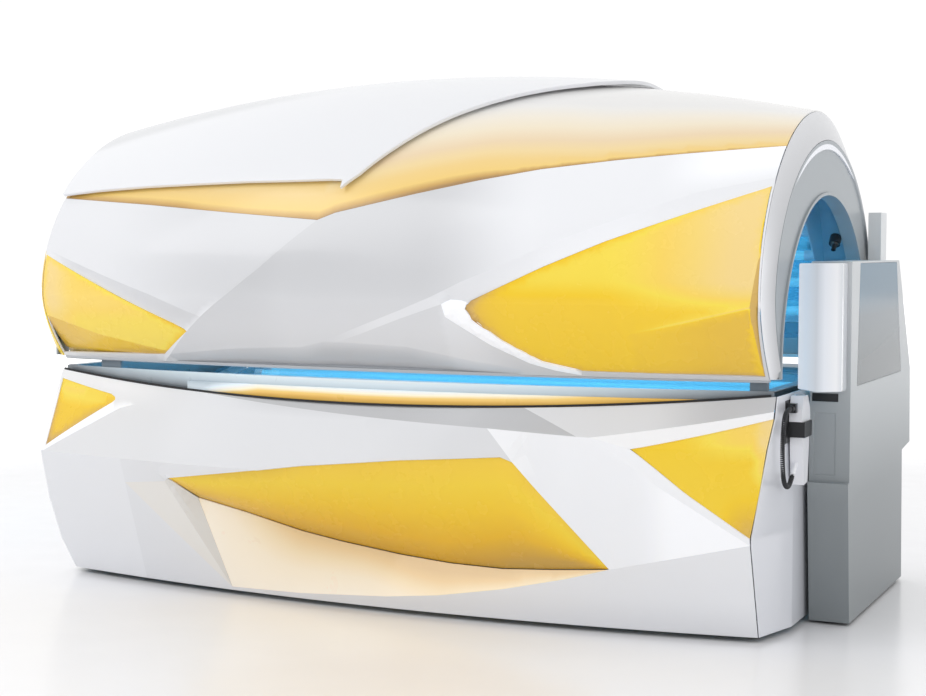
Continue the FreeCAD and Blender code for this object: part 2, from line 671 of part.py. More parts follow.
def rim_light():
    def lens(x):
        back = deck_front(x) - 0.3
        return [(back - GLOW_T, GLOW_LOW), (back - GLOW_T, GLOW_TOP - 3),
                (back - GLOW_T + 3, GLOW_TOP), (back, GLOW_TOP), (back, GLOW_LOW)]

    def bead(x):
        y, z = rim_y(x), true_z(x, RIM_MID_Z) + 0.3
        return [(y - WALL, z), (y - WALL, z + 4), (y - WALL + 2, z + 6), (y, z + 6), (y, z)]
    save("rim_light_lens", along(GLOW_X0, GLOW_X1, lens))
    save("rim_gasket", along(-END_HALF + 12, END_HALF - 12, bead))
    pads = []
    for x, half in REST_PADS:
        def pad(u):
            y0 = deck_front(u) + 6
            y1 = y0 + 14
            top = CAN_EDGE_Z - TRIM_H - GAP - 0.4
            return [(y0, deck_z(u, y0) - 1), (y0, top), (y1, top), (y1, deck_z(u, y1) - 1)]
        pads.append(along(x - half, x + half, pad).cut(PIECES["bench_rim"]))
    save("rest_buffers", *pads)


def bench():
    save("bench_acrylic", bench_sheet(0.0, ACRYLIC, BENCH_HALF))
    save("bench_reflector", bench_sheet(ACRYLIC + REFL_OFF, REFL_WALL, LAMP_HALF + SOCKET, 10.0))
    mid = (BENCH_FRONT + BENCH_REAR) / 2.0
    lamps, holders = [], []
    for i in range(BENCH_LAMPS):
        y = mid + (i - (BENCH_LAMPS - 1) / 2.0) * LAMP_PITCH
        z = bench_z(y, ACRYLIC + LAMP_OFF)
        lamps.append(lamp(y, z))
        holders += lamp_holders(y, z)
    save("bench_lamps", *lamps)
    save("bench_lamp_holders", *holders)


def lamp(y, z):
    glass = rod_x(y, z, LAMP_R, -LAMP_HALF, LAMP_HALF)
    return glass.cut(rod_x(y, z, LAMP_R - LAMP_WALL, -LAMP_HALF - 1, LAMP_HALF + 1))


def lamp_holders(y, z):
    far = LAMP_HALF + SOCKET
    return [rod_x(y, z, LAMP_R + 2, LAMP_HALF + 0.3, far),
            rod_x(y, z, LAMP_R + 2, -far, -LAMP_HALF - 0.3)]


# ------------------------------------------------------------------ base, inside
def base_frame():
    half = RAIL / 2.0
    xs = (-RAIL_X + half, 0.0, RAIL_X - half)
    ys = (RAIL_Y0 + half, RAIL_Y1 - half)
    tubes = []
    for z in (FOOT_H + half, POST_TOP - half):
        tubes += [box_tube(-RAIL_X, RAIL_X, y - half, y + half, z - half, z + half, RAIL_WALL)
                  for y in ys]
        tubes += [box_tube(x - half, x + half, RAIL_Y0 + RAIL, RAIL_Y1 - RAIL, z - half, z + half,
                           RAIL_WALL) for x in xs]
    low, high = FOOT_H + RAIL, POST_TOP - RAIL
    posts = [box_tube(x - half, x + half, y - half, y + half, low, high, RAIL_WALL)
             for x in xs for y in ys]
    bowl = bench_sheet(-300.0, 300.0 + ACRYLIC + 1.0, REACH / 2, -60.0)
    near = LAMP_HALF + SOCKET + 0.3
    plates = []
    for side in (-1, 1):
        x0, x1 = sorted((side * near, side * (near + BULKHEAD)))
        plate = block(x0, x1, BENCH_FRONT + LEDGE_IN + 3, BENCH_REAR - LEDGE_IN - 3,
                      POST_TOP, BENCH_EDGE_Z)
        plates.append(plate.cut(bowl))
    save("base_frame", *tubes, *posts, *plates)
    save("levelling_feet", *[fused(rod_z(x, y, FOOT_R, 0.0, FOOT_H * 0.45),
                                   rod_z(x, y, STEM_R, 0.0, FOOT_H)) for x in xs for y in ys])
    trays = [block(x0, x1, RAIL_Y0 + 8, RAIL_Y1 - 8, low, low + TRAY_T)
             for x0, x1 in ((-RAIL_X + RAIL + 1, -half - 1), (half + 1, RAIL_X - RAIL - 1))]
    save("base_tray", *trays)
    base = low + TRAY_T
    boxes = []
    for i in range(BALLASTS):
        x = (i - (BALLASTS - 1) / 2.0) * BALLAST_PITCH
        boxes.append(block(x - BALLAST_W / 2, x + BALLAST_W / 2, BALLAST_Y, BALLAST_Y + BALLAST_L,
                           base, base + BALLAST_H))
    save("ballasts", *boxes)
    cooler = block(*COOLER_X, *COOLER_Y, base, base + COOLER_H)
    cooler = cooler.cut(block(COOLER_X[0] + WALL, COOLER_X[1] - WALL, COOLER_Y[0] + WALL,
                              COOLER_Y[1] - WALL, base - 1, base + COOLER_H - WALL))
    outlet = rod_y(sum(COOLER_X) / 2, base + COOLER_H / 2, 60, COOLER_Y[0] - 40, COOLER_Y[0] + 1)
    opening = rod_y(sum(COOLER_X) / 2, base + COOLER_H / 2, 54, COOLER_Y[0] - 41, COOLER_Y[0] - 5)
    save("cooler_unit", fused(cooler, outlet).cut(opening))


def fans():
    frames = []
    for side, name in ((-1, "fan_rotor_left"), (1, "fan_rotor_right")):
        x = side * FAN_X
        y1 = BASE_BACK - WALL - GAP
        y0 = y1 - FAN_DEPTH
        box = block(x - FAN_R - 12, x + FAN_R + 12, y0, y1, FAN_Z - FAN_R - 12, FAN_Z + FAN_R + 12)
        box = box.cut(rod_y(x, FAN_Z, FAN_R, y0 - 1, y1 + 1))
        spokes = block(x - FAN_R - 2, x + FAN_R + 2, y0, y0 + 4, FAN_Z - 5, FAN_Z + 5)
        spokes = spokes.fuse(block(x - 5, x + 5, y0, y0 + 4, FAN_Z - FAN_R - 2, FAN_Z + FAN_R + 2))
        motor = rod_y(x, FAN_Z, HUB_R - 2, y0, y0 + 12)
        shaft = rod_y(x, FAN_Z, SHAFT_R, y0, y0 + FAN_DEPTH - 6)
        frames.append(fused(box, spokes, motor, shaft))
        hub = rod_y(x, FAN_Z, HUB_R, y0 + 14, y0 + FAN_DEPTH - 8)
        blades = []
        for i in range(FAN_BLADES):
            blade = block(-7, 7, y0 + 16, y0 + FAN_DEPTH - 10, HUB_R - 3, FAN_R - 4)
            blade = blade.common(twisted_blade(y0 + 16, y0 + FAN_DEPTH - 10))
            blade.rotate(V(0, 0, 0), V(0, 1, 0), 360.0 * i / FAN_BLADES)
            blade.translate(V(x, 0, FAN_Z))
            blades.append(blade)
        rotor = fused(hub, *blades).cut(rod_y(x, FAN_Z, SHAFT_R + PIN_FIT, y0, y1))
        save(name, rotor)
    save("fan_frames", *frames)


def twisted_blade(y0, y1):
    """Slanted slab that a fan blade is cut from."""
    outline = [(-7, y0), (-4, y0), (7, y1), (4, y1)]
    return slab_z(outline, 0, FAN_R)


def base_ear(x):
    y0 = BASE_BACK + 0.3
    ear = slab_x([(y0, EAR_Z), (AXIS_Y + KNUCKLE_R - 6, EAR_Z + 30), (AXIS_Y + KNUCKLE_R, AXIS_Z),
                  (AXIS_Y, AXIS_Z + KNUCKLE_R), (y0 + 8, AXIS_Z + 4), (y0, AXIS_Z - 24)],
                 x - EAR_T / 2, x + EAR_T / 2)
    return ear.cut(rod_x(AXIS_Y, AXIS_Z, PIN_R + 0.02, x - EAR_T, x + EAR_T))


def base_brackets():
    y0 = BASE_BACK + 0.3
    brackets, pins = [], []
    for side in (-1, 1):
        x = side * HINGE_X
        plate = block(x - 60, x + 60, y0, y0 + PLATE, EAR_Z - 60, EAR_Z + 20)
        brackets.append(fused(plate, base_ear(x - EAR_X), base_ear(x + EAR_X)))
        pins.append(rod_x(AXIS_Y, AXIS_Z, PIN_R, x - EAR_X - EAR_T, x + EAR_X + EAR_T))
        x = side * STRUT_X
        plate = block(x - 35, x + 35, y0, y0 + PLATE, FOOT_Z - 35, FOOT_Z + 35)
        ears = [block(x + k - 3, x + k + 3, y0 + 4, FOOT_Y + 10, FOOT_Z - 12, FOOT_Z + 12)
                for k in (-EYE_T - 1, EYE_T + 1)]
        pin = rod_x(FOOT_Y, FOOT_Z, ROD_R, x - EYE_T - 1, x + EYE_T + 1)
        brackets.append(fused(plate, pin, *ears))
    save("base_brackets", *brackets)
    save("hinge_pins", *pins)


def canopy_brackets():
    y0 = CAN_BACK + 0.3
    arms = []
    for side in (-1, 1):
        x = side * HINGE_X
        knuckle = rod_x(AXIS_Y, AXIS_Z, KNUCKLE_R - 1, x - ARM_X, x + ARM_X)
        arm = slab_x([(y0, AXIS_Z + 26), (AXIS_Y - 4, AXIS_Z + 2), (AXIS_Y + 12, AXIS_Z + 6),
                      (y0 + 10, AXIS_Z + 60), (y0, AXIS_Z + 60)], x - ARM_X, x + ARM_X)
        plate = block(x - 50, x + 50, y0, y0 + PLATE, AXIS_Z + 34, AXIS_Z + 110)
        bore = rod_x(AXIS_Y, AXIS_Z, PIN_R + PIN_FIT, x - 2 * ARM_X, x + 2 * ARM_X)
        arms.append(fused(knuckle, arm, plate).cut(bore))
        x = side * STRUT_X
        plate = block(x - 35, x + 35, y0, y0 + PLATE, HEAD_Z - 15, HEAD_Z + 40)
        lug = block(x + EYE_T, x + 2 * EYE_T, y0 + 4, FOOT_Y + 12, HEAD_Z - 12, HEAD_Z + 12)
        stud = rod_x(FOOT_Y, HEAD_Z, ROD_R, x - EYE_T, x + EYE_T + 1)
        arms.append(fused(plate, lug, stud))
    save("canopy_brackets", *arms)


def struts():
    """Pull springs that help lift the canopy; their heads hang loosely on the studs."""
    cylinders, rods = [], []
    for side in (-1, 1):
        x = side * STRUT_X
        tube = rod_z(x, FOOT_Y, CYL_R, FOOT_Z + EYE_R + 5, FOOT_Z + CYL_L)
        neck = block(x - EYE_T / 2, x + EYE_T / 2, FOOT_Y - EYE_T, FOOT_Y + EYE_T,
                     FOOT_Z + EYE_T, FOOT_Z + EYE_R + 6)
        tube = tube.cut(rod_z(x, FOOT_Y, ROD_R + 0.4, FOOT_Z + 40, FOOT_Z + CYL_L + 1))
        eye = rod_x(FOOT_Y, FOOT_Z, EYE_R, x - EYE_T / 2, x + EYE_T / 2)
        cylinders.append(fused(tube, neck, eye).cut(
            rod_x(FOOT_Y, FOOT_Z, ROD_R + PIN_FIT, x - EYE_T, x + EYE_T)))
        rod = rod_z(x, FOOT_Y, ROD_R, FOOT_Z + 100, HEAD_Z - EYE_R - 1)
        head = rod_x(FOOT_Y, HEAD_Z, EYE_R + 4, x - EYE_T / 2, x + EYE_T / 2)
        head = head.cut(rod_x(FOOT_Y, HEAD_Z, ROD_R + HEAD_PLAY, x - EYE_T, x + EYE_T))
        rods.append(fused(rod, head))
    save("strut_cylinders", *cylinders)
    save("strut_rods", *rods)


# ------------------------------------------------------------------------ tunnel
def arch_prism(offset, low, x0, x1):
    """Solid filling the tunnel arch out to an offset, from height low upwards."""
    a, b = TUN_A + offset, TUN_B + offset
    wide, high = V(0, TUN_Y + a, TUN_Z), V(0, TUN_Y, TUN_Z + b)
    major, minor = (wide, high) if a >= b else (high, wide)
    curve = Part.Ellipse(major, minor, V(0, TUN_Y, TUN_Z))
    disc = Part.Face(Part.Wire([curve.toShape()]))
    top = disc.extrude(V(x1 - x0, 0, 0))
    top.translate(V(x0, 0, 0))
    legs = block(x0, x1, TUN_Y - a, TUN_Y + a, TUN_Z - REACH, TUN_Z)
    whole = top.common(block(x0 - 1, x1 + 1, -REACH, REACH, max(low, TUN_Z), REACH))
    if low < TUN_Z:
        whole = whole.fuse(legs.common(block(x0 - 1, x1 + 1, -REACH, REACH, low, TUN_Z)))
        whole = whole.removeSplitter()
    return whole


def arch_sheet(offset, wall, low, x0, x1):
    return arch_prism(offset + wall, low, x0, x1).cut(arch_prism(offset, low - 1, x0 - 1, x1 + 1))


def lamp_seats():
    """Centres of the canopy lamps, y and z."""
    a, b = TUN_A + TUN_STEP + LAMP_OFF, TUN_B + TUN_STEP + LAMP_OFF
    step = (180.0 - 2 * LAMP_SWEEP) / (CAN_LAMPS - 1)
    angles = [math.radians(LAMP_SWEEP + i * step) for i in range(CAN_LAMPS)]
    return [(TUN_Y - a * math.cos(t), TUN_Z + b * math.sin(t)) for t in angles]


def tunnel():
    half = CAN_HALF - WALL
    save("canopy_acrylic", arch_sheet(TUN_STEP, ACRYLIC, TUN_LOW, -half, half))
    near = LAMP_HALF + SOCKET
    save("canopy_reflector", arch_sheet(TUN_STEP + REFL_OFF, REFL_WALL, REFL_LOW, -near, near))
    lamps, holders = [], []
    for y, z in lamp_seats():
        lamps.append(lamp(y, z))
        holders += lamp_holders(y, z)
    save("canopy_lamps", *lamps)
    save("canopy_lamp_holders", *holders)
    rails = [box_tube(-half, half, y0, y1, z0, z1, RAIL_WALL)
             for (y0, z0), (y1, z1) in CANOPY_RAILS]
    save("canopy_rails", *rails)
    plates = []
    for side in (-1, 1):
        x0, x1 = sorted((side * (near + 0.3), side * (near + 0.3 + BULKHEAD)))
        curve = can_outline(side * (near + 0.3 + BULKHEAD), SHELL + LENS_WALL + 4 * GAP,
                            TUN_LOW + 7)
        wire = Part.Wire([curve.toShape(), Part.makeLine(curve.EndPoint, curve.StartPoint)])
        plate = Part.Face(wire).extrude(V(-side * BULKHEAD, 0, 0))
        plate = plate.cut(arch_prism(TUN_STEP + ACRYLIC + 0.3, TUN_Z - 1, x0 - 1, x1 + 1))
        for (y0, z0), (y1, z1) in CANOPY_RAILS:
            plate = plate.cut(block(x0 - 1, x1 + 1, y0 - 0.3, y1 + 0.3, z0 - 0.3, z1 + 0.3))
        plates.append(plate)
    save("canopy_bulkheads", *plates)


# ----------------------------------------------------------------- canopy, outside
def on_canopy(points):
    """Outlines are drawn on a canopy of half length 1112, edge at 676 and rise 508."""
    return [(x * CAN_HALF / 1112.0, CAN_EDGE_Z + (z - 676.0) * CAN_RISE / 508.0)
            for x, z in points]


V_LINE = on_canopy([(-1112, 1156), (-734, 1130), (-435, 1105), (-134, 1077), (-60, 1099),
                    (174, 1148), (344, 1181), (507, 1208), (701, 1229), (860, 1243), (1112, 1262)])
CAN_LENS_LEFT = on_canopy([(-1100, 980), (-561, 776), (-684, 697), (-1100, 690)])
CAN_LENS_RIGHT = on_canopy([(355, 852), (374, 868), (563, 951), (718, 1025), (898, 1091),
                            (1098, 1158), (1098, 690), (640, 694), (540, 715), (444, 771)])
WING_LOW = on_canopy([(-1112, 1157), (-955, 1174), (-749, 1186), (-558, 1195), (-376, 1198),
                      (-204, 1198), (-96, 1192), (-56, 1181)])
SPLIT_Y = CAN_Y + 128.0   # where the front shell meets the rear cover
WING_EDGE = [(x * CAN_HALF / 1112.0, CAN_Y + (y - 572.0) * CAN_DEPTH / 585.0) for x, y in [
    (-70, -30), (-8, 4), (66, 62), (190, 167), (336, 281), (490, 398), (560, 470), (605, 560),
    (630, 700)]]


def below_line(line, floor):
    """Outline of everything under a line of (x, z) points."""
    return [(line[0][0] - 60, floor), (line[0][0] - 60, line[0][1])] + line + [
        (line[-1][0] + 60, line[-1][1]), (line[-1][0] + 60, floor)]


def canopy_shell():
    skin = can_skin(0.0, SHELL)
    front = skin.common(block(-REACH, REACH, -REACH, SPLIT_Y, 0, REACH))
    save("canopy_rear_cover", skin.common(block(-REACH, REACH, SPLIT_Y, REACH, 0, REACH)))
    lower = slab_y(below_line(V_LINE, 0.0), -REACH, SPLIT_Y + 1)
    panel = front.common(lower)
    for outline in (CAN_LENS_LEFT, CAN_LENS_RIGHT):
        panel = panel.cut(slab_y(shrunk(outline, 0.96), -REACH, CAN_Y))
    save("canopy_front_panel", panel)
    save("canopy_light_band", front.cut(lower))
    glass = can_skin(SHELL + GAP, LENS_WALL, CAN_HALF - 2)
    save("canopy_lens_left", glass.common(slab_y(CAN_LENS_LEFT, -REACH, CAN_Y)))
    save("canopy_lens_right", glass.common(slab_y(CAN_LENS_RIGHT, -REACH, CAN_Y)))
    raised = can_skin(-LIP, LIP - GAP)
    over = slab_y(below_line(WING_LOW + [(WING_EDGE[-1][0], WING_LOW[-1][1])], REACH),
                  -REACH, REACH)
    x0 = -CAN_HALF - 60
    plan = [(x0, -REACH), (WING_EDGE[0][0], -REACH)] + WING_EDGE + [(x0, SPLIT_Y)]
    wing = raised.common(over).common(slab_z(plan, 0, REACH))
    save("canopy_wing", wing)


def ring_curve(side, inset, low):
    """Outer crease of an end ring."""
    x = side * (CAN_HALF + RING_OUT)
    nose = CAN_Y - RING_DEPTH
    back = CAN_BACK - CAN_Y - (CAN_DEPTH - RING_DEPTH) / 2
    edge_in = CAN_EDGE_IN - (CAN_DEPTH - RING_DEPTH) / 2
    points = []
    for t in (1.0, 0.72, 0.42, 0.18):
        points.append(V(x, nose + inset + edge_in * t ** 1.7, CAN_NOSE_Z - (CAN_NOSE_Z - low) * t))
    for angle in (0.001, 12, 26, 40, 55, 72, 90, 108, 125, 140, 154, 168, 179.999):
        c = math.cos(math.radians(angle))
        s = math.sin(math.radians(angle)) ** (2.0 / CAN_POWER)
        depth = (RING_DEPTH if c > 0 else back) - inset
        y = CAN_Y - depth * math.copysign(abs(c) ** (2.0 / CAN_POWER), c)
        points.append(V(x, y, CAN_NOSE_Z + (RING_RISE - inset) * s))
    points += [V(x, CAN_Y + back - inset, CAN_NOSE_Z - (CAN_NOSE_Z - low) * t)
               for t in (0.35, 0.7, 1.0)]
    curve = Part.BSplineCurve()
    curve.interpolate(points)
    return curve


def closed(curve, shift):
    wire = Part.Wire([curve.toShape(), Part.makeLine(curve.EndPoint, curve.StartPoint)])
    wire.translate(V(shift, 0, 0))
    return wire


def ring(side):
    """End ring: chamfered rim, flat face and a short collar round the tunnel."""
    near = side * CAN_HALF
    start = side * 0.3
    body = Part.makeLoft([closed(can_outline(near), start), closed(ring_curve(side, 0.0, CAN_EDGE_Z), 0)],
                         True, True)
    low = CAN_EDGE_Z - 20
    core = Part.makeLoft([closed(can_outline(near, SHELL, low), start - side),
                          closed(ring_curve(side, SHELL, low), -side * SHELL)], True, True)
    body = body.cut(core)
    x0, x1 = sorted((near - side * 12.0, side * (CAN_HALF + RING_OUT)))
    body = body.cut(arch_prism(0.0, CAN_EDGE_Z - 30, x0 - 40, x1 + 40))
    collar = arch_sheet(0.0, TUN_STEP - 0.3, TUN_Z - 4, x0, x1)
    return body.fuse(collar).removeSplitter()


def canopy_trims():
    low, high = CAN_EDGE_Z - TRIM_H - 0.5, CAN_EDGE_Z - 0.5

    def front(x):
        y = can_nose(x) + CAN_EDGE_IN
        return [(y, low + 3), (y, high), (y + TRIM_W, high), (y + TRIM_W, low), (y + 3, low)]

    def rear(x):
        return [(CAN_BACK, low + 3), (CAN_BACK - 3, low), (CAN_BACK - TRIM_W, low),
                (CAN_BACK - TRIM_W, high), (CAN_BACK, high)]

    def front_sill(x):
        y = can_nose(x) + CAN_EDGE_IN + SHELL + GAP
        top = TUN_Y - TUN_A - TUN_STEP
        return [(y, CAN_EDGE_Z - 0.2), (top - ACRYLIC, TUN_LOW - GAP), (top, TUN_LOW - GAP),
                (y + ACRYLIC + 1, CAN_EDGE_Z - 0.2)]

    def rear_sill(x):
        top = TUN_Y + TUN_A + TUN_STEP
        y = CAN_BACK - SHELL - GAP
        return [(y, CAN_EDGE_Z - 0.2), (y - ACRYLIC - 1, CAN_EDGE_Z - 0.2), (top, TUN_LOW - GAP),
                (top + ACRYLIC, TUN_LOW - GAP)]
    half = CAN_HALF - WALL
    save("canopy_edge_trims", along(-half, half, front), along(-half, half, rear),
         along(-SILL_HALF, SILL_HALF, front_sill), along(-SILL_HALF, SILL_HALF, rear_sill))


# --------------------------------------------------------- controls and air nozzle
def console():
    x0, x1 = CONSOLE_X
    y0, y1 = CONSOLE_Y
    top = CONSOLE_Z + CONSOLE_H
    body = block(x0, x1, y0, y1, CONSOLE_Z, top)
    y = (y0 + y1) / 2.0
    for name, x in (("start_button", START_X), ("fan_button", FAN_KEY_X)):
        body = body.cut(rod_z(x, y, BUTTON_R + BUTTON_PLAY, CONSOLE_Z - 1, CONSOLE_Z + 10))
        save(name, rod_z(x, y, BUTTON_R, CONSOLE_Z - 3, CONSOLE_Z + 10 - BUTTON_TRAVEL - 0.5))
    save("console", body)


def nozzle():
    t = math.radians(NOZZLE_ANGLE)
    a, b = TUN_A + TUN_STEP, TUN_B + TUN_STEP
    on_arch = V(NOZZLE_X, TUN_Y + a * math.cos(t), TUN_Z + b * math.sin(t))
    out = V(0, math.cos(t) / a, math.sin(t) / b).normalize()
    ball = on_arch - out * NOZZLE_OFF
    mouth = ball - out * 4.0
    seat = Part.makeSphere(BALL_R + PIN_FIT, ball)
    socket = rod_between(mouth, on_arch - out * 0.8, SOCKET_R).cut(seat)
    reach = BALL_R + 2.5
    socket = socket.cut(rod_x(ball.y, ball.z, TRUNNION_R + PIN_FIT, ball.x - reach - GAP,
                              ball.x + reach + GAP))
    save("nozzle_socket", socket)
    trunnion = rod_x(ball.y, ball.z, TRUNNION_R, ball.x - reach, ball.x + reach)
    tip = ball - out * SPOUT_L
    spout = fused(Part.makeSphere(BALL_R, ball), rod_between(ball, tip, SPOUT_R), trunnion)
    save("air_nozzle", spout.cut(rod_between(ball - out * 10, tip - out, SPOUT_R - 2.5)))


# ------------------------------------------------------------------------- tower
TOWER = [(TOW_FRONT_LOW, TOW_LOW), (TOW_FRONT, TOW_LEDGE_Z), (TOW_FRONT_TOP, TOW_LEDGE_Z + 3),
         (TOW_FRONT_TOP, TOW_TOP), (TOW_CREST_Y, TOW_TOP), (TOW_BACK_TOP - 10, WIN_Z + 2),
         (TOW_BACK_TOP, TOW_STEP_Z + 11), (TOW_BACK - 10, TOW_STEP_Z - 2), (TOW_BACK + 9, TOW_LOW)]
SIDE_WINDOW = [(WIN_FRONT - 4, WIN_Z), (WIN_FRONT + 20, TOW_TOP - WALL - 1),
               (WIN_BACK_TOP, TOW_TOP - WALL - 1), (WIN_BACK, WIN_Z)]


def tower():
    body = slab_x(TOWER, TOW_X0, TOW_X1)
    face = Part.Face(Part.makePolygon([V(0, y, z) for y, z in TOWER + TOWER[:1]]))
    inner = face.makeOffset2D(-TOW_WALL, 2)
    room = inner.extrude(V(TOW_X1 - TOW_X0 - 2 * TOW_WALL, 0, 0))
    room.translate(V(TOW_X0 + TOW_WALL, 0, 0))
    body = body.cut(room)
    body = body.cut(block(TOW_X0 + TOW_WALL, TOW_X1 - TOW_WALL, TOW_FRONT_LOW + 10, TOW_BACK - 6,
                          TOW_LOW - 1, TOW_LOW + 2 * TOW_WALL))
    shelf = block(TOW_X0 + TOW_WALL - 1, TOW_X1 - TOW_WALL + 1, TOW_FRONT_TOP + TOW_WALL - 1,
                  TOW_BACK_TOP - 12, SHELF_Z, SHELF_Z + TOW_WALL)
    bosses = [block(END_HALF + 0.3, TOW_X0 + 1, y, y + 60, *BOSS_Z) for y in (470.0, 900.0)]
    body = fused(body, shelf, *bosses)
    body = body.cut(slab_x(SIDE_WINDOW, TOW_X1 - TOW_WALL - 1, TOW_X1 + 1))
    body = body.cut(block(TOW_X0 + 6, TOW_X0 + 76, TOW_FRONT_TOP - 1, TOW_FRONT_TOP + TOW_WALL + 1,
                          SLOT_Z0, SLOT_Z1))
    body = body.cut(block(TOW_X0 + 12, TOW_X0 + 69, TOW_FRONT_TOP - 1, TOW_FRONT_TOP + 2,
                          TOW_LEDGE_Z + 20, SLOT_Z0 - 30))
    x0, x1 = DUCT_X
    y0, y1 = DUCT_Y
    body = body.cut(block(x0 - GAP, x1 + GAP, y0 - GAP, y1 + GAP, WIN_Z + 60, TOW_TOP))
    save("tower_housing", body)
    save("tower_slot", block(TOW_X0 + 6.4, TOW_X0 + 75.6, TOW_FRONT_TOP + 1.5, TOW_FRONT_TOP + 3.5,
                             SLOT_Z0 + 0.4, SLOT_Z1 - 0.4))
    save("tower_window", slab_x(shrunk(SIDE_WINDOW, 0.998), TOW_X1 - PANE, TOW_X1))
    base = SHELF_Z + TOW_WALL + 0.3
    duct = block(x0, x1, y0, y1, base, DUCT_TOP)
    save("exhaust_duct", duct.cut(block(x0 + DUCT_WALL, x1 - DUCT_WALL, y0 + DUCT_WALL,
                                        y1 - DUCT_WALL, base - 1, DUCT_TOP + 1)))
    save("air_duct", slab_x([(445, base), (445, 700), (470, 728), (540, 735), (562, 715),
                             (530, 712), (495, 690), (482, base)], TOW_X0 + 16, TOW_X1 - 18))


def pod():
    y1 = TOW_FRONT_TOP - 0.3
    plan = [(TOW_X0, y1), (TOW_X0, POD_FRONT), (POD_X1, POD_FRONT + POD_SLANT), (POD_X1, y1)]
    hollow = [(TOW_X0 + WALL, y1 + 1), (TOW_X0 + WALL, POD_FRONT + WALL + 3),
              (POD_X1 - WALL, POD_FRONT + POD_SLANT + 3), (POD_X1 - WALL, y1 + 1)]
    body = slab_z(plan, POD_Z0, POD_Z1).cut(slab_z(hollow, POD_Z0 + 12, POD_Z1 - WALL))
    corner_cut = slab_y([(TOW_X0 - 1, POD_Z0 - 1), (TOW_X0 - 1, POD_Z0 + 10),
                         (TOW_X0 + 45, POD_Z0 - 1)], 0, REACH)
    save("tower_pod", body.cut(corner_cut))


# ----------------------------------------------------------------------- handset
def handset():
    x0, x1 = HAND_X
    y0, y1 = CLIP_Y
    z0, z1 = CLIP_Z
    outline = [(y0, z0 - 20), (y0, z1 + GAP), (y0 - 10, z1 + GAP), (y0 - 10, z1 + 32),
               (y0 + 6, HAND_TOP), (y1 - 16, HAND_TOP), (y1 + 6, z1 + 32), (y1 + 10, z1 + GAP),
               (y1, z1 + GAP), (y1, z0 - 20), (y1 - 12, z0 - 120), (y0 + 14, z0 - 124)]
    body = slab_x(outline, x0, x1)
    body = body.cut(rod_z(KEY_X, KEY_Y, KEY_R + BUTTON_PLAY, HAND_TOP - 10, HAND_TOP + 1))
    end = cord_points()[-1]
    ahead = (end - cord_points()[-2]).normalize()
    boss = rod_between(end + ahead * 0.3, end + ahead * 42, CORD_R - 0.5)
    save("handset", fused(body, boss))
    save("handset_button", rod_z(KEY_X, KEY_Y, KEY_R, HAND_TOP - 7, HAND_TOP + 2.5))
    face = END_HALF + 0.3
    plate = block(face, x0 - 2, y0 - 34, y1 + 32, z0 - 14, z1 + 56)
    clip = block(x0 - 3, x1 + CLIP_WALL, y0 - CLIP_WALL, y1 + CLIP_WALL, z0, z1)
    waist = block(x0 - GAP, x1 + GAP, y0 - GAP, y1 + GAP, z0 - 1, z1 + 1)
    step = block(x0 - 3, CORD_X + 9, y0 - 30, y0 - 12, CORD_Z - 12, CORD_Z + 12)
    gland = rod_y(CORD_X, CORD_Z, CORD_R + 1.5, CORD_Y + 0.3, y0 - 20)
    save("handset_holder", fused(plate, clip, step, gland).cut(waist))


def cord_points():
    points = [V(CORD_X, CORD_Y, CORD_Z)]
    for length, heading in CORD_RUNS:
        t = math.radians(heading)
        points.append(points[-1] + V(0, math.cos(t), math.sin(t)) * length)
    return points


def handset_cord():
    """Curly cord, as the tube its coils fill: straight runs joined by tangent arcs."""
    points = cord_points()
    edges = []
    here = points[0]
    for before, p, after in zip(points, points[1:], points[2:]):
        u = (before - p).normalize()
        w = (after - p).normalize()
        half_turn = (math.pi - u.getAngle(w)) / 2.0
        cut = 0.45 * min((before - p).Length, (after - p).Length)
        a, b = p + u * cut, p + w * cut
        radius = cut / math.tan(half_turn)
        centre = p + (u + w).normalize() * (radius / math.cos(half_turn))
        middle = centre + (p - centre).normalize() * radius
        edges += [Part.makeLine(here, a), Part.Arc(a, middle, b).toShape()]
        here = b
        print("cord bend radius %.1f" % radius)
    edges.append(Part.makeLine(here, points[-1]))
    path = Part.Wire(edges)
    start = points[1] - points[0]
    ring_wire = Part.Wire([Part.makeCircle(CORD_R, points[0], start)])
    tube = path.makePipeShell([ring_wire], True, True)
    print("cord volume", tube.Volume, "section x length", math.pi * CORD_R ** 2 * path.Length)
    save("handset_cord", tube)


base_front()
base_covers()
bench_rim()
rim_light()
bench()
base_frame()
fans()
base_brackets()
struts()
tunnel()
canopy_shell()
save("canopy_ring_left", ring(-1))
save("canopy_ring_right", ring(1))
canopy_trims()
canopy_brackets()
console()
nozzle()
tower()
pod()
handset()
handset_cord()
export_all()
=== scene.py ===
import math

import bpy
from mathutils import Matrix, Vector, geometry, kdtree


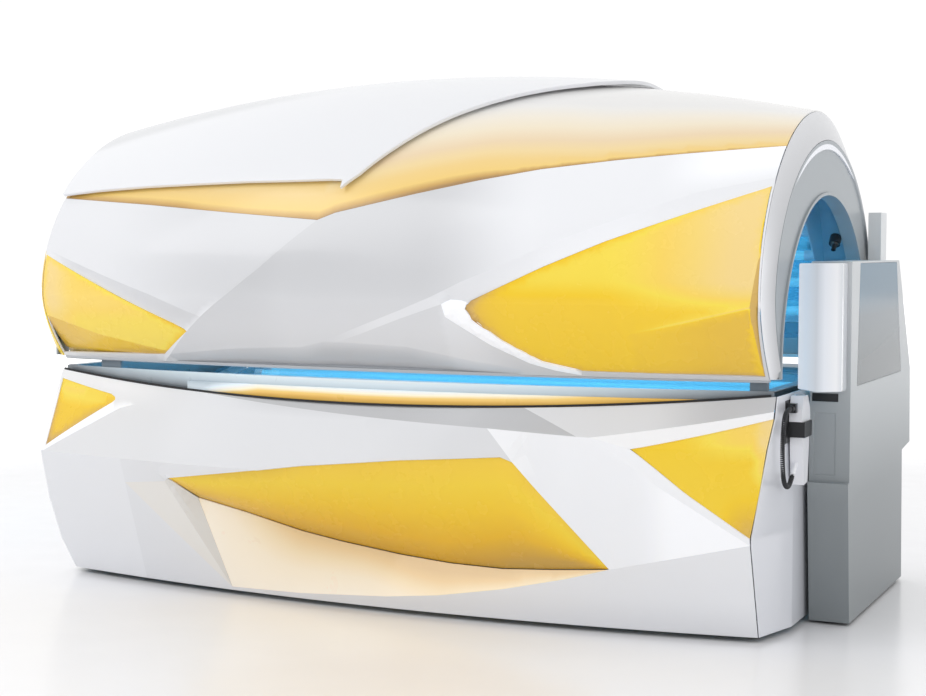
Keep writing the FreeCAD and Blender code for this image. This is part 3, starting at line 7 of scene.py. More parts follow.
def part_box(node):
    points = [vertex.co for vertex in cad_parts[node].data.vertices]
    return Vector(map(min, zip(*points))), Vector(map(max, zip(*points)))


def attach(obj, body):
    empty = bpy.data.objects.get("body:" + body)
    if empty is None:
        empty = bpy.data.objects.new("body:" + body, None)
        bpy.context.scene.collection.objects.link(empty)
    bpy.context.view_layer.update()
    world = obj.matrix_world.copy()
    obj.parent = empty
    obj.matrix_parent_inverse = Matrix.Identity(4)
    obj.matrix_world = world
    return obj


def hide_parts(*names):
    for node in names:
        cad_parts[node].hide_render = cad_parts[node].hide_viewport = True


# Clamshell tanning bed dressed round its CAD frame.  The shapes below are worked out in
# bed coordinates in millimetres (x = 0 at mid length, y = 0 at the plinth line below it,
# z = 0 on the floor) and placed in the row frame in metres by row().
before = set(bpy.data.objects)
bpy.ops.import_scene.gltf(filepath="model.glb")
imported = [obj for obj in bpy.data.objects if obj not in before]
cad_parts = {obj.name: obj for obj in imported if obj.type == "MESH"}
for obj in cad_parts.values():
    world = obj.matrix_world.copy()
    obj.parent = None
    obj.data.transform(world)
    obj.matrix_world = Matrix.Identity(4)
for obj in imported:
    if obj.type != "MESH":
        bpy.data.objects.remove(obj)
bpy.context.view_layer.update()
pin_low, pin_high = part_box("hinge_pins")
AXIS_Y = 1150.0
SHIFT = Vector(((pin_low[0] + pin_high[0]) / 2, (pin_low[1] + pin_high[1]) / 2 - AXIS_Y / 1000, 0))


def row(x, y, z):
    return SHIFT + Vector((x, y, z)) / 1000.0


# ------------------------------------------------------------------ bed dimensions
WALL, LENS_WALL, GAP = 4.0, 5.0, 0.5
BASE_HALF, END_HALF, BASE_BACK, CORNER_Y = 1086.0, 1128.0, 1128.0, 255.0
BOW, NOSE_Z, NOSE_OUT, RIM_OUT = 100.0, 390.0, 130.0, 20.0
RIM_MID_Z, RIM_END_Z = 577.0, 632.0
CAN_HALF, CAN_Y, CAN_NOSE_Z, CAN_DEPTH = 1112.0, 572.0, 870.0, 585.0
CAN_RISE, CAN_CROWN, CAN_POWER, CAN_EDGE_Z = 508.0, 117.0, 1.88, 676.0
CAN_EDGE_IN, CAN_BACK, SHELL, LIP = 98.0, 1132.0, 5.0, 12.0
RING_OUT, RING_RISE, RING_DEPTH = 28.0, 430.0, 553.0
TUN_Y, TUN_Z, TUN_A, TUN_B = 578.0, 700.0, 490.0, 452.0
DECK_Z, GLOW_LOW, GLOW_HEIGHT = 645.0, 566.0, 54.0
ARC_MM = 10.0             # length along the arch per degree of its angle, roughly


# ---------------------------------------------------------------------- materials
class Nodes:
    """Small builder for one material's node tree."""

    def __init__(self, name):
        self.mat = bpy.data.materials.new(name)
        self.mat.use_nodes = True
        self.tree = self.mat.node_tree
        self.bsdf = self.tree.nodes["Principled BSDF"]
        self.coords = self.add("ShaderNodeTexCoord").outputs["Object"]

    def add(self, kind, **values):
        node = self.tree.nodes.new(kind)
        for key, value in values.items():
            if hasattr(node, key):
                setattr(node, key, value)
            else:
                node.inputs[key.replace("_", " ")].default_value = value
        return node

    def link(self, output, socket):
        self.tree.links.new(output, socket)

    def feed(self, socket, value):
        """Set a socket to a number or a colour, or link it to another node's output."""
        if isinstance(value, tuple):
            socket.default_value = (*value, 1.0)
        elif isinstance(value, (int, float)):
            socket.default_value = value
        else:
            self.link(value, socket)

    def noise(self, scale, detail=3.0, stretch=(1, 1, 1)):
        mapping = self.add("ShaderNodeMapping", Scale=stretch)
        self.link(self.coords, mapping.inputs["Vector"])
        node = self.add("ShaderNodeTexNoise", Scale=scale, Detail=detail)
        self.link(mapping.outputs["Vector"], node.inputs["Vector"])
        return node.outputs["Fac"]

    def span(self, value, low, high, to_low=0.0, to_high=1.0):
        """A value between low and high, taken to its place in a second range."""
        node = self.add("ShaderNodeMapRange", From_Min=low, From_Max=high, To_Min=to_low,
                        To_Max=to_high)
        self.link(value, node.inputs["Value"])
        return node.outputs["Result"]

    def along(self, direction):
        """Position along a direction, in metres."""
        node = self.add("ShaderNodeVectorMath", operation="DOT_PRODUCT")
        self.link(self.coords, node.inputs[0])
        node.inputs[1].default_value = direction
        return node.outputs["Value"]

    def field(self, name):
        """Value painted on the mesh."""
        return self.add("ShaderNodeAttribute", attribute_name=name).outputs["Fac"]

    def maths(self, operation, a, b):
        node = self.add("ShaderNodeMath", operation=operation)
        for socket, value in zip(node.inputs, (a, b)):
            self.feed(socket, value)
        return node.outputs["Value"]

    def ramp(self, value, stops):
        node = self.add("ShaderNodeValToRGB")
        while len(node.color_ramp.elements) < len(stops):
            node.color_ramp.elements.new(0.5)
        for element, (place, colour) in zip(node.color_ramp.elements, stops):
            element.position = place
            element.color = (*colour, 1.0)
        self.link(value, node.inputs["Fac"])
        return node.outputs["Color"]

    def mix(self, fac, a, b):
        node = self.add("ShaderNodeMix", data_type="RGBA")
        self.feed(node.inputs["Factor"], fac)
        self.feed(node.inputs[6], a)
        self.feed(node.inputs[7], b)
        return node.outputs[2]

    def bump(self, height, strength, distance):
        node = self.add("ShaderNodeBump", Strength=strength, Distance=distance)
        self.link(height, node.inputs["Height"])
        self.link(node.outputs["Normal"], self.bsdf.inputs["Normal"])

    def put(self, **values):
        for key, value in values.items():
            self.feed(self.bsdf.inputs[key.replace("_", " ")], value)


def srgb(r, g, b):
    """Linear colour of screen values from 0 to 255."""
    def straight(v):
        v /= 255.0
        return v / 12.92 if v <= 0.04045 else ((v + 0.055) / 1.055) ** 2.4
    return straight(r), straight(g), straight(b)


def gloss(n, rough, coat, grain, shine=0.5):
    """Moulded plastic's surface: slow changes in gloss, very fine orange peel."""
    n.put(Roughness=n.span(n.noise(1.3, 0.0), 0.2, 0.8, rough - 0.02, rough + 0.02),
          Coat_Weight=coat, Coat_Roughness=0.1, Specular_IOR_Level=shine)
    n.bump(n.noise(420.0, 1.0), 0.05, grain)
    return n.mat


def moulded(name, colour, shade, rough=0.3, coat=0.4, grain=0.0003):
    """Moulded plastic with faint, broad clouding between two close colours."""
    n = Nodes(name)
    cloud = n.span(n.noise(0.9, 0.0), 0.25, 0.75)
    n.put(Base_Color=n.mix(cloud, srgb(*colour), srgb(*shade)))
    return gloss(n, rough, coat, grain)


def shell(name, tint):
    """White moulded shell; its tone, painted on the mesh, follows its folds and is painted shade
    and highlight; its brightest places glow faintly as painted light.
    """
    n = Nodes(name)
    cloud = n.span(n.noise(0.9, 0.0), 0.25, 0.75, -0.006, 0.006)
    level = n.maths("POWER", n.maths("ADD", n.field("tone"), cloud), 2.2)
    n.put(Base_Color=n.mix(level, (0.0, 0.0, 0.0), tint), Emission_Color=tint,
          Emission_Strength=n.span(n.field("tone"), 0.965, 1.0, 0.0, 0.09))
    return gloss(n, 0.3, 0.35, 0.0003)


def glowing(name, stops, rough=0.26, glow=0.03, coat=0.2):
    """Translucent lens lit from behind: the colour runs with the field "fade"; the scoop and the
    bench rim use it for painted light and shade.
    """
    n = Nodes(name)
    soft = n.maths("ADD", n.field("fade"), n.span(n.noise(1.6, 2.0), 0.3, 0.7, -0.03, 0.03))
    colour = n.ramp(soft, [(place, srgb(*c)) for place, c in stops])
    n.put(Base_Color=colour, Emission_Color=colour, Emission_Strength=glow,
          Roughness=n.span(n.noise(14.0), 0.3, 0.7, rough - 0.03, rough + 0.04),
          Coat_Weight=coat, Coat_Roughness=0.16, IOR=1.49)
    n.bump(n.noise(190.0, 2.0), 0.05, 0.0003)
    return n.mat


def graded(name, direction, start, end, stops, rough=0.35, coat=0.2, share=0.0, shine=0.5):
    """Moulded plastic whose colour runs along a direction, from start to end in metres; the
    tower's painted shade and the pod's painted sheen use it.  A share of it can be see-through."""
    n = Nodes(name)
    cloud = n.span(n.noise(0.9, 0.0), 0.2, 0.8, -0.02, 0.02)
    place = n.maths("ADD", n.span(n.along(direction), start, end), cloud)
    n.put(Base_Color=n.ramp(place, [(stop, srgb(*c)) for stop, c in stops]), Alpha=1.0 - share)
    return gloss(n, rough, coat, 0.0003, shine)


def clear(name, colour, rough, share):
    """Thin clear sheet: a little gloss over plastic of which a share is see-through."""
    n = Nodes(name)
    n.put(Base_Color=colour, Roughness=n.span(n.noise(6.0), 0.3, 0.7, rough, rough + 0.05),
          IOR=1.49, Alpha=1.0 - share, Coat_Weight=0.3, Coat_Roughness=0.03)
    return n.mat


def metal(name, colour, rough, stretch, grain=120.0):
    """Metal with fine lines, stretched along one direction."""
    n = Nodes(name)
    lines = n.noise(grain, 4.0, stretch)
    n.put(Base_Color=n.mix(n.span(lines, 0.3, 0.7), colour, tuple(c * 0.82 for c in colour)),
          Metallic=1.0, Roughness=n.span(lines, 0.3, 0.7, rough - 0.06, rough + 0.08))
    n.bump(lines, 0.06, 0.0003)
    return n.mat


def lit(name, colour, strength, bands):
    """Lamp glass: even glow, a little weaker along faint bands."""
    n = Nodes(name)
    fade = n.span(n.noise(3.0, 1.0, (1, 20, 20)), 0.2, 0.8, 1.0 - bands, 1.0)
    n.put(Base_Color=colour, Emission_Color=colour, Roughness=0.15,
          Emission_Strength=n.maths("MULTIPLY", fade, strength))
    return n.mat


LILAC, WARM = (0.955, 0.967, 1.0), (1.0, 0.975, 0.935)
# shells that carry painted shade and highlight, set by tone() below
SHELL_WHITE = shell("white_shell", LILAC)
SHELL_WARM = shell("warm_shell", WARM)
WHITE = moulded("white_plastic", (246, 247, 252), (243, 244, 249))
# white plastic with painted shade, worn by the right end cover
PALE = moulded("white_in_painted_shade", (232, 234, 240), (228, 230, 236))
DARK_GREY = moulded("panel_shade", (186, 190, 196), (180, 184, 190))
RING_FACE = moulded("ring_grey", (158, 165, 170), (154, 161, 166), 0.4, 0.2)
# tower grey with painted shade: darker towards the floor and lighter towards the top
TOWER = graded("tower_grey", (0, 0, 1), 0.05, 1.02, [
    (0.0, (128, 134, 137)), (0.3, (140, 146, 149)), (0.55, (172, 178, 181)), (0.8, (192, 196, 199)),
    (1.0, (204, 208, 210))], rough=0.42, coat=0.15)
POD = moulded("pod_white", (240, 243, 252), (236, 240, 250), 0.14, 0.9)
BLACK = moulded("black_plastic", (34, 35, 38), (28, 29, 32), 0.42, 0.1)
RUBBER = moulded("black_rubber", (40, 41, 44), (34, 35, 38), 0.75, 0.0, 0.001)
HOLDER_WHITE = moulded("lamp_holder", (200, 206, 212), (192, 198, 205), 0.5, 0.0)
DUCT_GREY = moulded("duct_grey", (120, 126, 130), (110, 116, 121), 0.5, 0.1)
DUCT_PALE = moulded("duct_pale", (224, 227, 229), (217, 220, 223), 0.5, 0.1)
STEEL = metal("zinc_steel", (0.62, 0.63, 0.66), 0.38, (1, 1, 12))
FRAME_STEEL = moulded("frame_steel", (92, 95, 100), (82, 86, 92), 0.55, 0.1, 0.001)
MIRROR = metal("reflector", (0.50, 0.78, 0.88), 0.22, (1, 18, 18), 60.0)
LAMP = lit("lamp_glass", srgb(106, 188, 214), 0.62, 0.15)
ACRYLIC = clear("clear_acrylic", srgb(120, 200, 240), 0.04, 0.80)
PANE = graded("smoke_pane", (0, 0, 1), 0.70, 1.0, [
    (0.0, (104, 112, 115)), (0.4, (114, 126, 134)), (0.6, (118, 144, 162)),
    (1.0, (124, 152, 172))], rough=0.12, coat=0.0, share=0.12, shine=0.12)
# near-black strip as painted shadow in the gap along each ring's lip
GAP_SHADOW = graded("joint_shadow", (0, 0, 1), 0.0, 2.0, [
    (0.0, (20, 20, 22)), (1.0, (16, 16, 18))], rough=0.8, coat=0.0, shine=0.0)
# pod front with painted sheen: light and grey bands across it stand for its soft highlights
POD_SHEEN = graded("pod_painted_sheen", (1, 0, 0), 1.085, 1.19, [
    (0.0, (232, 240, 250)), (0.2, (214, 228, 242)), (0.42, (208, 215, 224)), (0.6, (238, 242, 249)),
    (0.85, (250, 251, 254)), (1.0, (222, 226, 232))], rough=0.14, coat=0.9)
BUFFER_GREY = moulded("buffer_grey", (120, 132, 142), (110, 122, 132), 0.7, 0.0, 0.001)

WINDOW_GLOW = glowing("window_glow", [
    (0.0, (192, 156, 76)), (0.10, (212, 166, 56)), (0.30, (238, 188, 30)), (0.55, (247, 204, 36)),
    (0.8, (248, 212, 52)), (1.0, (248, 208, 60))])
# scoop: cream panel with the window's amber light painted on it, and a faint glow as painted light
SCOOP_GLOW = glowing("scoop_glow", [
    (0.0, (255, 246, 232)), (0.4, (250, 237, 214)), (0.62, (245, 226, 190)),
    (0.82, (238, 209, 160)), (1.0, (228, 198, 150))], rough=0.3, glow=0.08)
LENS_GLOW = glowing("lens_glow", [
    (0.0, (190, 150, 84)), (0.14, (216, 177, 92)), (0.30, (236, 193, 54)), (0.44, (247, 206, 34)),
    (0.61, (250, 224, 78)), (0.76, (251, 215, 96)), (0.88, (249, 217, 118)), (1.0, (247, 217, 142))])
BAND_GLOW = glowing("band_glow", [
    (0.0, (168, 132, 86)), (0.035, (208, 166, 92)), (0.09, (242, 207, 122)), (0.2, (241, 208, 134)),
    (0.3, (241, 215, 156)), (0.42, (236, 212, 174)), (0.6, (240, 227, 201)), (0.74, (239, 230, 213)),
    (0.92, (233, 231, 227)), (1.0, (229, 228, 227))], rough=0.22, glow=0.02)
# bench rim with painted shade: dark grey low on its front face under the deck, light above
RIM_SHADED = glowing("rim_painted_shade", [
    (0.0, (88, 92, 98)), (0.35, (130, 138, 146)), (0.6, (190, 205, 215)), (0.85, (225, 240, 248)),
    (1.0, (240, 246, 250))], rough=0.3, glow=0.0, coat=0.4)
# rim light strip: amber lens low down, a painted cream highlight and painted blue lamp glow above
STRIP_GLOW = glowing("strip_glow", [
    (0.0, (206, 158, 72)), (0.36, (232, 184, 84)), (0.5, (246, 208, 122)), (0.62, (252, 244, 220)),
    (0.8, (232, 244, 252)), (1.0, (178, 192, 202))], rough=0.3, glow=0.15, coat=0.3)


# ------------------------------------------------------------------- mesh building
def clamp(t):
    return max(0.0, min(1.0, t))


def ease(t):
    """Soft step from 0 to 1."""
    t = clamp(t)
    return t * t * (3 - 2 * t)


def link_piece(obj, materials, body, nodes=()):
    """Put an object in the scene: its materials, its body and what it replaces."""
    bpy.context.scene.collection.objects.link(obj)
    for mat in materials:
        obj.data.materials.append(mat)
    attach(obj, body)
    if nodes:
        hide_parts(*nodes)
    return obj


def piece(name, points, faces, materials, body, nodes=(), slots=None, picks=None):
    """Object of bed-coordinate points in millimetres."""
    mesh = bpy.data.meshes.new(name)
    mesh.from_pydata([row(*p) for p in points], [], faces)
    mesh.polygons.foreach_set("use_smooth", [True] * len(mesh.polygons))
    if picks:
        mesh.polygons.foreach_set("material_index", picks)
    mesh.update()
    if not isinstance(materials, (list, tuple)):
        materials = [materials]
    return link_piece(bpy.data.objects.new(name, mesh), materials, body, nodes)


def soften(obj, width=1.5, angle=30.0, segments=2, wall=0.0, weld=0.0):
    """Wall thickness, small rounds on the sharp edges, and even shading.  Lengths are in
    millimetres, and edges sharper than the angle in degrees are rounded."""
    if weld:
        mod = obj.modifiers.new("weld", "WELD")
        mod.merge_threshold = weld / 1000.0
    if wall:
        mod = obj.modifiers.new("wall", "SOLIDIFY")
        mod.thickness = wall / 1000.0
        mod.offset = -1.0
        mod.use_even_offset = True
    mod = obj.modifiers.new("rounds", "BEVEL")
    mod.width = width / 1000.0
    mod.segments = segments
    mod.limit_method = "ANGLE"
    mod.angle_limit = math.radians(angle)
    mod = obj.modifiers.new("shading", "WEIGHTED_NORMAL")
    mod.keep_sharp = True
    return obj


def tube_mesh(loops, closed=True):
    """Points and faces through loops with the same number of points."""
    n = len(loops[0])
    points = [p for loop in loops for p in loop]
    faces = []
    for k in range(len(loops) - 1):
        for i in range(n if closed else n - 1):
            j = (i + 1) % n
            faces.append((k * n + i, k * n + j, (k + 1) * n + j, (k + 1) * n + i))
    if closed:
        faces.append(tuple(range(n - 1, -1, -1)))
        faces.append(tuple(range((len(loops) - 1) * n, len(loops) * n)))
    return points, faces


def side_mesh(loops, side):
    """Open strips through loops, facing outwards at either end of the bed."""
    points, faces = tube_mesh(loops, False)
    return points, faces if side > 0 else [face[::-1] for face in faces]


def turned(name, centre, axis, profile, mat, body, count, width):
    """Round piece: profile is (distance along the axis, radius) in millimetres."""
    axis = Vector(axis).normalized()
    side = axis.orthogonal().normalized()
    other = axis.cross(side)
    loops = []
    for along_axis, radius in profile:
        ring = []
        for i in range(count):
            t = 2 * math.pi * i / count
            reach = (side * math.cos(t) + other * math.sin(t)) * radius
            ring.append(tuple(Vector(centre) + axis * along_axis + reach))
        loops.append(ring)
    return soften(piece(name, *tube_mesh(loops), mat, body), width)


def fine(line, step, loop=False):
    """The same polyline with points no further apart than step."""
    ends = line[1:] + line[:1] if loop else line[1:]
    points = []
    for (xa, ya), (xb, yb) in zip(line, ends):
        n = max(1, math.ceil(math.hypot(xb - xa, yb - ya) / step))
        points += [(xa + (xb - xa) * i / n, ya + (yb - ya) * i / n) for i in range(n)]
    return points if loop else points + [line[-1]]


def inside(loop, x, y):
    """Whether a point lies within a closed outline."""
    found = False
    for (xa, ya), (xb, yb) in zip(loop, loop[1:] + loop[:1]):
        if (ya > y) != (yb > y) and x < xa + (xb - xa) * (y - ya) / (yb - ya):
            found = not found
    return found


ROW = 0.87                # row height of even triangles, as a share of their side
ROOM = 0.55               # least distance of an inner point from the lines, in steps


def patch(lines, step, region):
    """Triangles over a flat domain.  The lines, already fine, stay edges; region(x, y)
    gives a number for the triangles to keep, or None."""
    points, edges = [], []
    index = {}
    for line in lines:
        ids = []
        for x, y in line:
            key = (round(x, 2), round(y, 2))
            if key not in index:
                index[key] = len(points)
                points.append(Vector(key))
            ids.append(index[key])
        edges += [(a, b) for a, b in zip(ids, ids[1:]) if a != b]
    tree = kdtree.KDTree(len(points))
    for i, p in enumerate(points):
        tree.insert((p.x, p.y, 0), i)
    tree.balance()
    low = (min(p.x for p in points), min(p.y for p in points))
    high = (max(p.x for p in points), max(p.y for p in points))
    rows = math.ceil((high[1] - low[1]) / (step * ROW))
    cols = math.ceil((high[0] - low[0]) / step)
    inner = []
    for j in range(1, rows):
        for i in range(cols):
            x = low[0] + (i + 0.5 * (j % 2) + 0.25) * step
            y = low[1] + j * step * ROW
            if region(x, y) is not None and tree.find((x, y, 0))[2] > ROOM * step:
                inner.append(Vector((x, y)))
    flat, _, faces, _, _, _ = geometry.delaunay_2d_cdt(points + inner, edges, [], 0, 1e-4)
    kept, picks = [], []
    for face in faces:
        x = sum(flat[i].x for i in face) / 3
        y = sum(flat[i].y for i in face) / 3
        pick = region(x, y)
        if pick is not None:
            kept.append(tuple(face))
            picks.append(pick)
    used = sorted({i for face in kept for i in face})
    place = {old: new for new, old in enumerate(used)}
    return ([(flat[i].x, flat[i].y) for i in used],
            [tuple(place[i] for i in face) for face in kept], picks)


# ------------------------------------------------------------- base, faceted front
def bow(x):
    """How far the bowed front lies back at a station."""
    return BOW * (x / BASE_HALF) ** 2


def rim_lift(x, z):
    """How far the rim's rise to both ends lifts a point of the panel."""
    share = max(0.0, (z - NOSE_Z) / (RIM_MID_Z - NOSE_Z))
    return (RIM_END_Z - RIM_MID_Z) * (x / END_HALF) ** 2 * share


def slope_out(z):
    """The panel's slope from the plinth out to its nose and back to the rim."""
    if z < NOSE_Z:
        return -NOSE_OUT * z / NOSE_Z
    return -NOSE_OUT + (NOSE_OUT - RIM_OUT) * (z - NOSE_Z) / (RIM_END_Z - NOSE_Z)


def corners(*places):
    """Corners of the panel from (x, z), or (x, z, depth) where one is sunk."""
    return [(x, z, slope_out(z + rim_lift(x, z)) + sum(sunk)) for x, z, *sunk in places]


def at(chain, x, reach=0.0):
    """Height and depth of a chain of corners at a station, up to a reach past its ends."""
    x = max(chain[0][0], x) if x > chain[0][0] - reach else x
    x = min(chain[-1][0], x) if x < chain[-1][0] + reach else x
    for (xa, za, ya), (xb, zb, yb) in zip(chain, chain[1:]):
        if xa - 1e-3 <= x <= xb + 1e-3 and xb > xa:
            t = (x - xa) / (xb - xa)
            return za + t * (zb - za), ya + t * (yb - ya)
    return None


LEFT_FOOT, LEFT_LOW, LEFT_MID, LEFT_NOSE, LEFT_RIM = corners(
    (-1090, 14), (-1125, 110), (-1135, 240), (-1122, 390), (-1124, 577))
RIGHT_RIM, RIGHT_BEVEL, RIGHT_BORDER, RIGHT_FOLD, RIGHT_TIP, RIGHT_KNEE, RIGHT_FOOT = corners(
    (1128, 577), (1128, 549), (1128, 536), (1120, 478), (1086, 281), (1086, 264), (1086, 14))
BEVEL_START, BEVEL_MID, BEVEL_FOLD, BEVEL_END, BEVEL_TOP, BORDER_TIP = corners(
    (-520, 577), (138, 541), (393, 527), (639, 509), (486, 577), (672, 507))
RIGHT_APEX, NOSE_END, NOSE_KNEE = corners((783, 482), (-280, 390), (-782, 390))
WINDOW = corners((-610, 343), (-140, 410), (162, 441), (443, 459), (479, 448), (724, 178))
FACET_TIP, FACET_TOP, SCOOP_FOOT = corners((-782, 317), (-634, 330, 14), (-450, 24))
SCOOP_EDGE = [SCOOP_FOOT, *corners((-212, 30), (71, 48), (231, 66), (422, 100), (604, 143)),
              WINDOW[-1]]
WINDOW_SILL = [WINDOW[0], *corners(
    (-540, 284, 40), (-393, 249, 63), (-216, 203, 81), (-95, 182, 86), (89, 158, 87),
    (248, 148, 71), (406, 148, 52), (562, 162, 24)), WINDOW[-1]]
BOTTOM_KNEE, BOTTOM_STEP = corners((-782, 14), (-450, 14))
FACETS = [
    ([LEFT_RIM, BEVEL_START, BEVEL_MID, BEVEL_FOLD, WINDOW[4]],
     [LEFT_NOSE, NOSE_KNEE, NOSE_END] + WINDOW[1:5]),
    ([BEVEL_START, BEVEL_TOP, BEVEL_END], [BEVEL_START, BEVEL_MID, BEVEL_FOLD, BEVEL_END]),
    ([BEVEL_TOP, RIGHT_RIM], [BEVEL_TOP, BEVEL_END, BORDER_TIP, RIGHT_BEVEL]),
    ([BEVEL_FOLD, BEVEL_END, BORDER_TIP, RIGHT_KNEE], [BEVEL_FOLD] + WINDOW[4:] + [RIGHT_KNEE]),
    ([BORDER_TIP, RIGHT_BEVEL], [BORDER_TIP, RIGHT_APEX, RIGHT_BORDER]),
    ([BORDER_TIP, RIGHT_APEX, RIGHT_TIP], [BORDER_TIP, RIGHT_KNEE]),
    (SCOOP_EDGE + [RIGHT_KNEE], [BOTTOM_STEP, RIGHT_FOOT]),
    ([LEFT_MID, LEFT_NOSE, NOSE_KNEE], [LEFT_MID, FACET_TIP]),
    ([LEFT_MID, FACET_TIP], [LEFT_MID, LEFT_LOW, LEFT_FOOT, BOTTOM_KNEE]),
    ([FACET_TIP, SCOOP_FOOT], [BOTTOM_KNEE, BOTTOM_STEP]),
    ([NOSE_KNEE, NOSE_END], [FACET_TIP, FACET_TOP, WINDOW[0], NOSE_END]),
    ([FACET_TIP, FACET_TOP, SCOOP_FOOT], [FACET_TIP, SCOOP_FOOT]),
    ([FACET_TOP] + WINDOW_SILL[:2] + [SCOOP_FOOT], [FACET_TOP, SCOOP_FOOT]),
]
RIGHT_LENS = [([RIGHT_APEX, RIGHT_BORDER], [RIGHT_APEX, RIGHT_FOLD, RIGHT_BORDER]),
              ([RIGHT_APEX, RIGHT_FOLD], [RIGHT_APEX, RIGHT_TIP, RIGHT_FOLD])]
LEFT_LENS = [(-1112, 558), (-885, 542), (-866, 536), (-862, 529), (-872, 521), (-1108, 402)]


def setback(facets, x, z, slack=0.02, reach=0.0):
    """Facet number and how far it stands behind the plinth line at a flat point."""
    for number, (upper, lower) in enumerate(facets):
        top, low = at(upper, x, reach), at(lower, x, reach)
        if top and low and low[0] - slack <= z <= top[0] + slack:
            height = top[0] - low[0]
            share = (z - low[0]) / height if height > 1e-3 else 0.0
            return number, low[1] + share * (top[1] - low[1])
    return None


def on_front(x, z, back, inward=0.0):
    """Bed coordinates of a flat point that stands back from the plinth line."""
    return x, bow(x) + back + inward, z + rim_lift(x, z)


TO_MIDDLE = 0.04          # a corner's value is read this share of the way to its face's middle


def on_corners(obj, flat, value, name, picks=None):
    """Field per face corner, so that it may change abruptly along a fold."""
    layer = obj.data.attributes.new(name, "FLOAT", "CORNER")
    for face in obj.data.polygons:
        places = [flat[i] for i in face.vertices]
        cx = sum(p[0] for p in places) / len(places)
        cy = sum(p[1] for p in places) / len(places)
        more = (picks[face.index],) if picks else ()
        for loop, (x, y) in zip(face.loop_indices, places):
            level = value(x + (cx - x) * TO_MIDDLE, y + (cy - y) * TO_MIDDLE, *more)
            layer.data[loop].value = clamp(level)


def tone(obj, flat, level, picks=None):
    """Painted shade and highlight, as a depth of tone from 0 for black to 255 for white."""
    on_corners(obj, flat, lambda *p: level(*p) / 255.0, "tone", picks)


NEAREST = ((0.3, 0.0), (2.0, 4.0), (8.0, 16.0))    # slack and reach, tried in this order


def facet_piece(name, facets, step, materials, body, nodes, wall, bulge=None, inward=0.0,
                hole=None, slots=None, round_off=2.5, angle=6.0, level=None, folds=()):
    """Plate of facets with every facet edge kept crisp."""
    lines = [fine([(p[0], p[1]) for p in chain], step) for facet in facets for chain in facet]
    lines += [fine(fold, step) for fold in folds]
    for upper, lower in facets:
        for x in (upper[0][0], upper[-1][0]):
            top, low = at(upper, x), at(lower, x)
            if top and low and top[0] - low[0] > 1:
                lines.append(fine([(x, low[0]), (x, top[0])], step))
    if hole:
        lines.append(fine(hole, step, True))
        lines[-1].append(lines[-1][0])

    def region(x, z):
        if hole and inside(hole, x, z):
            return None
        found = setback(facets, x, z, -0.02)
        return found[0] if found else None

    flat, faces, picks = patch(lines, step, region)
    points = []
    for x, z in flat:
        found = next(filter(None, (setback(facets, x, z, *search) for search in NEAREST)))
        depth = found[1] + inward + (bulge(x, z) if bulge else 0.0)
        points.append(on_front(x, z, depth))
    many = isinstance(materials, dict)
    mats = list(dict.fromkeys(materials.values())) if many else [materials]
    choice = [mats.index(materials[p]) for p in picks] if many else None
    obj = piece(name, points, faces, mats, body, nodes, slots, choice)
    if level:
        tone(obj, flat, level, picks)
    return soften(obj, round_off, angle, 2, wall)


# ---------------------------------------------------------------- canopy, surface
SKIRT_W = 25.0            # width of the skirt in the canopy's flat domain, as degrees
SKIRT_CURL = 1.7          # power by which the skirt turns in towards its lower edge
REAR_DEPTH = CAN_BACK - CAN_Y


def crown(x):
    """Share of the crown's rise at a station: 1 at mid length and 0 at the ends."""
    return 1.0 - (x / CAN_HALF) ** 2


def can_depth(x):
    return CAN_DEPTH + BOW * crown(x)


def can_rise(x):
    return CAN_RISE + CAN_CROWN * crown(x)


def arch_point(x, w, depth, back, rise, edge_in, off):
    """Point of an arch: w is the angle from the nose, or the way down the skirt as a
    negative share of SKIRT_W, or behind 180 the way down the back."""
    if w < 0:
        t = min(1.0, -w / SKIRT_W)
        y = CAN_Y - depth + edge_in * t ** SKIRT_CURL - off
        return x, y, CAN_NOSE_Z - (CAN_NOSE_Z - CAN_EDGE_Z) * t
    if w > 180:
        drop = (CAN_NOSE_Z - CAN_EDGE_Z) * (w - 180) / SKIRT_W
        return x, CAN_Y + back + off, CAN_NOSE_Z - drop
    c, s = math.cos(math.radians(w)), math.sin(math.radians(w))
    y = CAN_Y - ((depth if c > 0 else back) + off) * math.copysign(abs(c) ** (2.0 / CAN_POWER), c)
    return x, y, CAN_NOSE_Z + (rise + off) * abs(s) ** (2.0 / CAN_POWER)


def can_point(x, w, off=0.0):
    """Point of the canopy's shell."""
    return arch_point(x, w, can_depth(x), REAR_DEPTH, can_rise(x), CAN_EDGE_IN, off)


def w_of_z(x, z):
    """Angle along the front of the arch at which it has a height."""
    if z < CAN_NOSE_Z:
        return -(CAN_NOSE_Z - z) / (CAN_NOSE_Z - CAN_EDGE_Z) * SKIRT_W
    s = min(1.0, ((z - CAN_NOSE_Z) / can_rise(x)) ** (CAN_POWER / 2.0))
    return math.degrees(math.asin(s))


def w_of_y(x, y):
    """Angle along the top of the arch at which it has a depth."""
    depth = can_depth(x) if y < CAN_Y else REAR_DEPTH
    c = math.copysign((abs(CAN_Y - y) / depth) ** (CAN_POWER / 2.0), CAN_Y - y)
    return math.degrees(math.acos(max(-1.0, min(1.0, c))))


def flat_from_z(line, step=20.0, loop=False):
    """Polyline of (x, z) points taken to the canopy's flat domain, in millimetres."""
    return [(x, ARC_MM * w_of_z(x, z)) for x, z in fine(line, step, loop)]


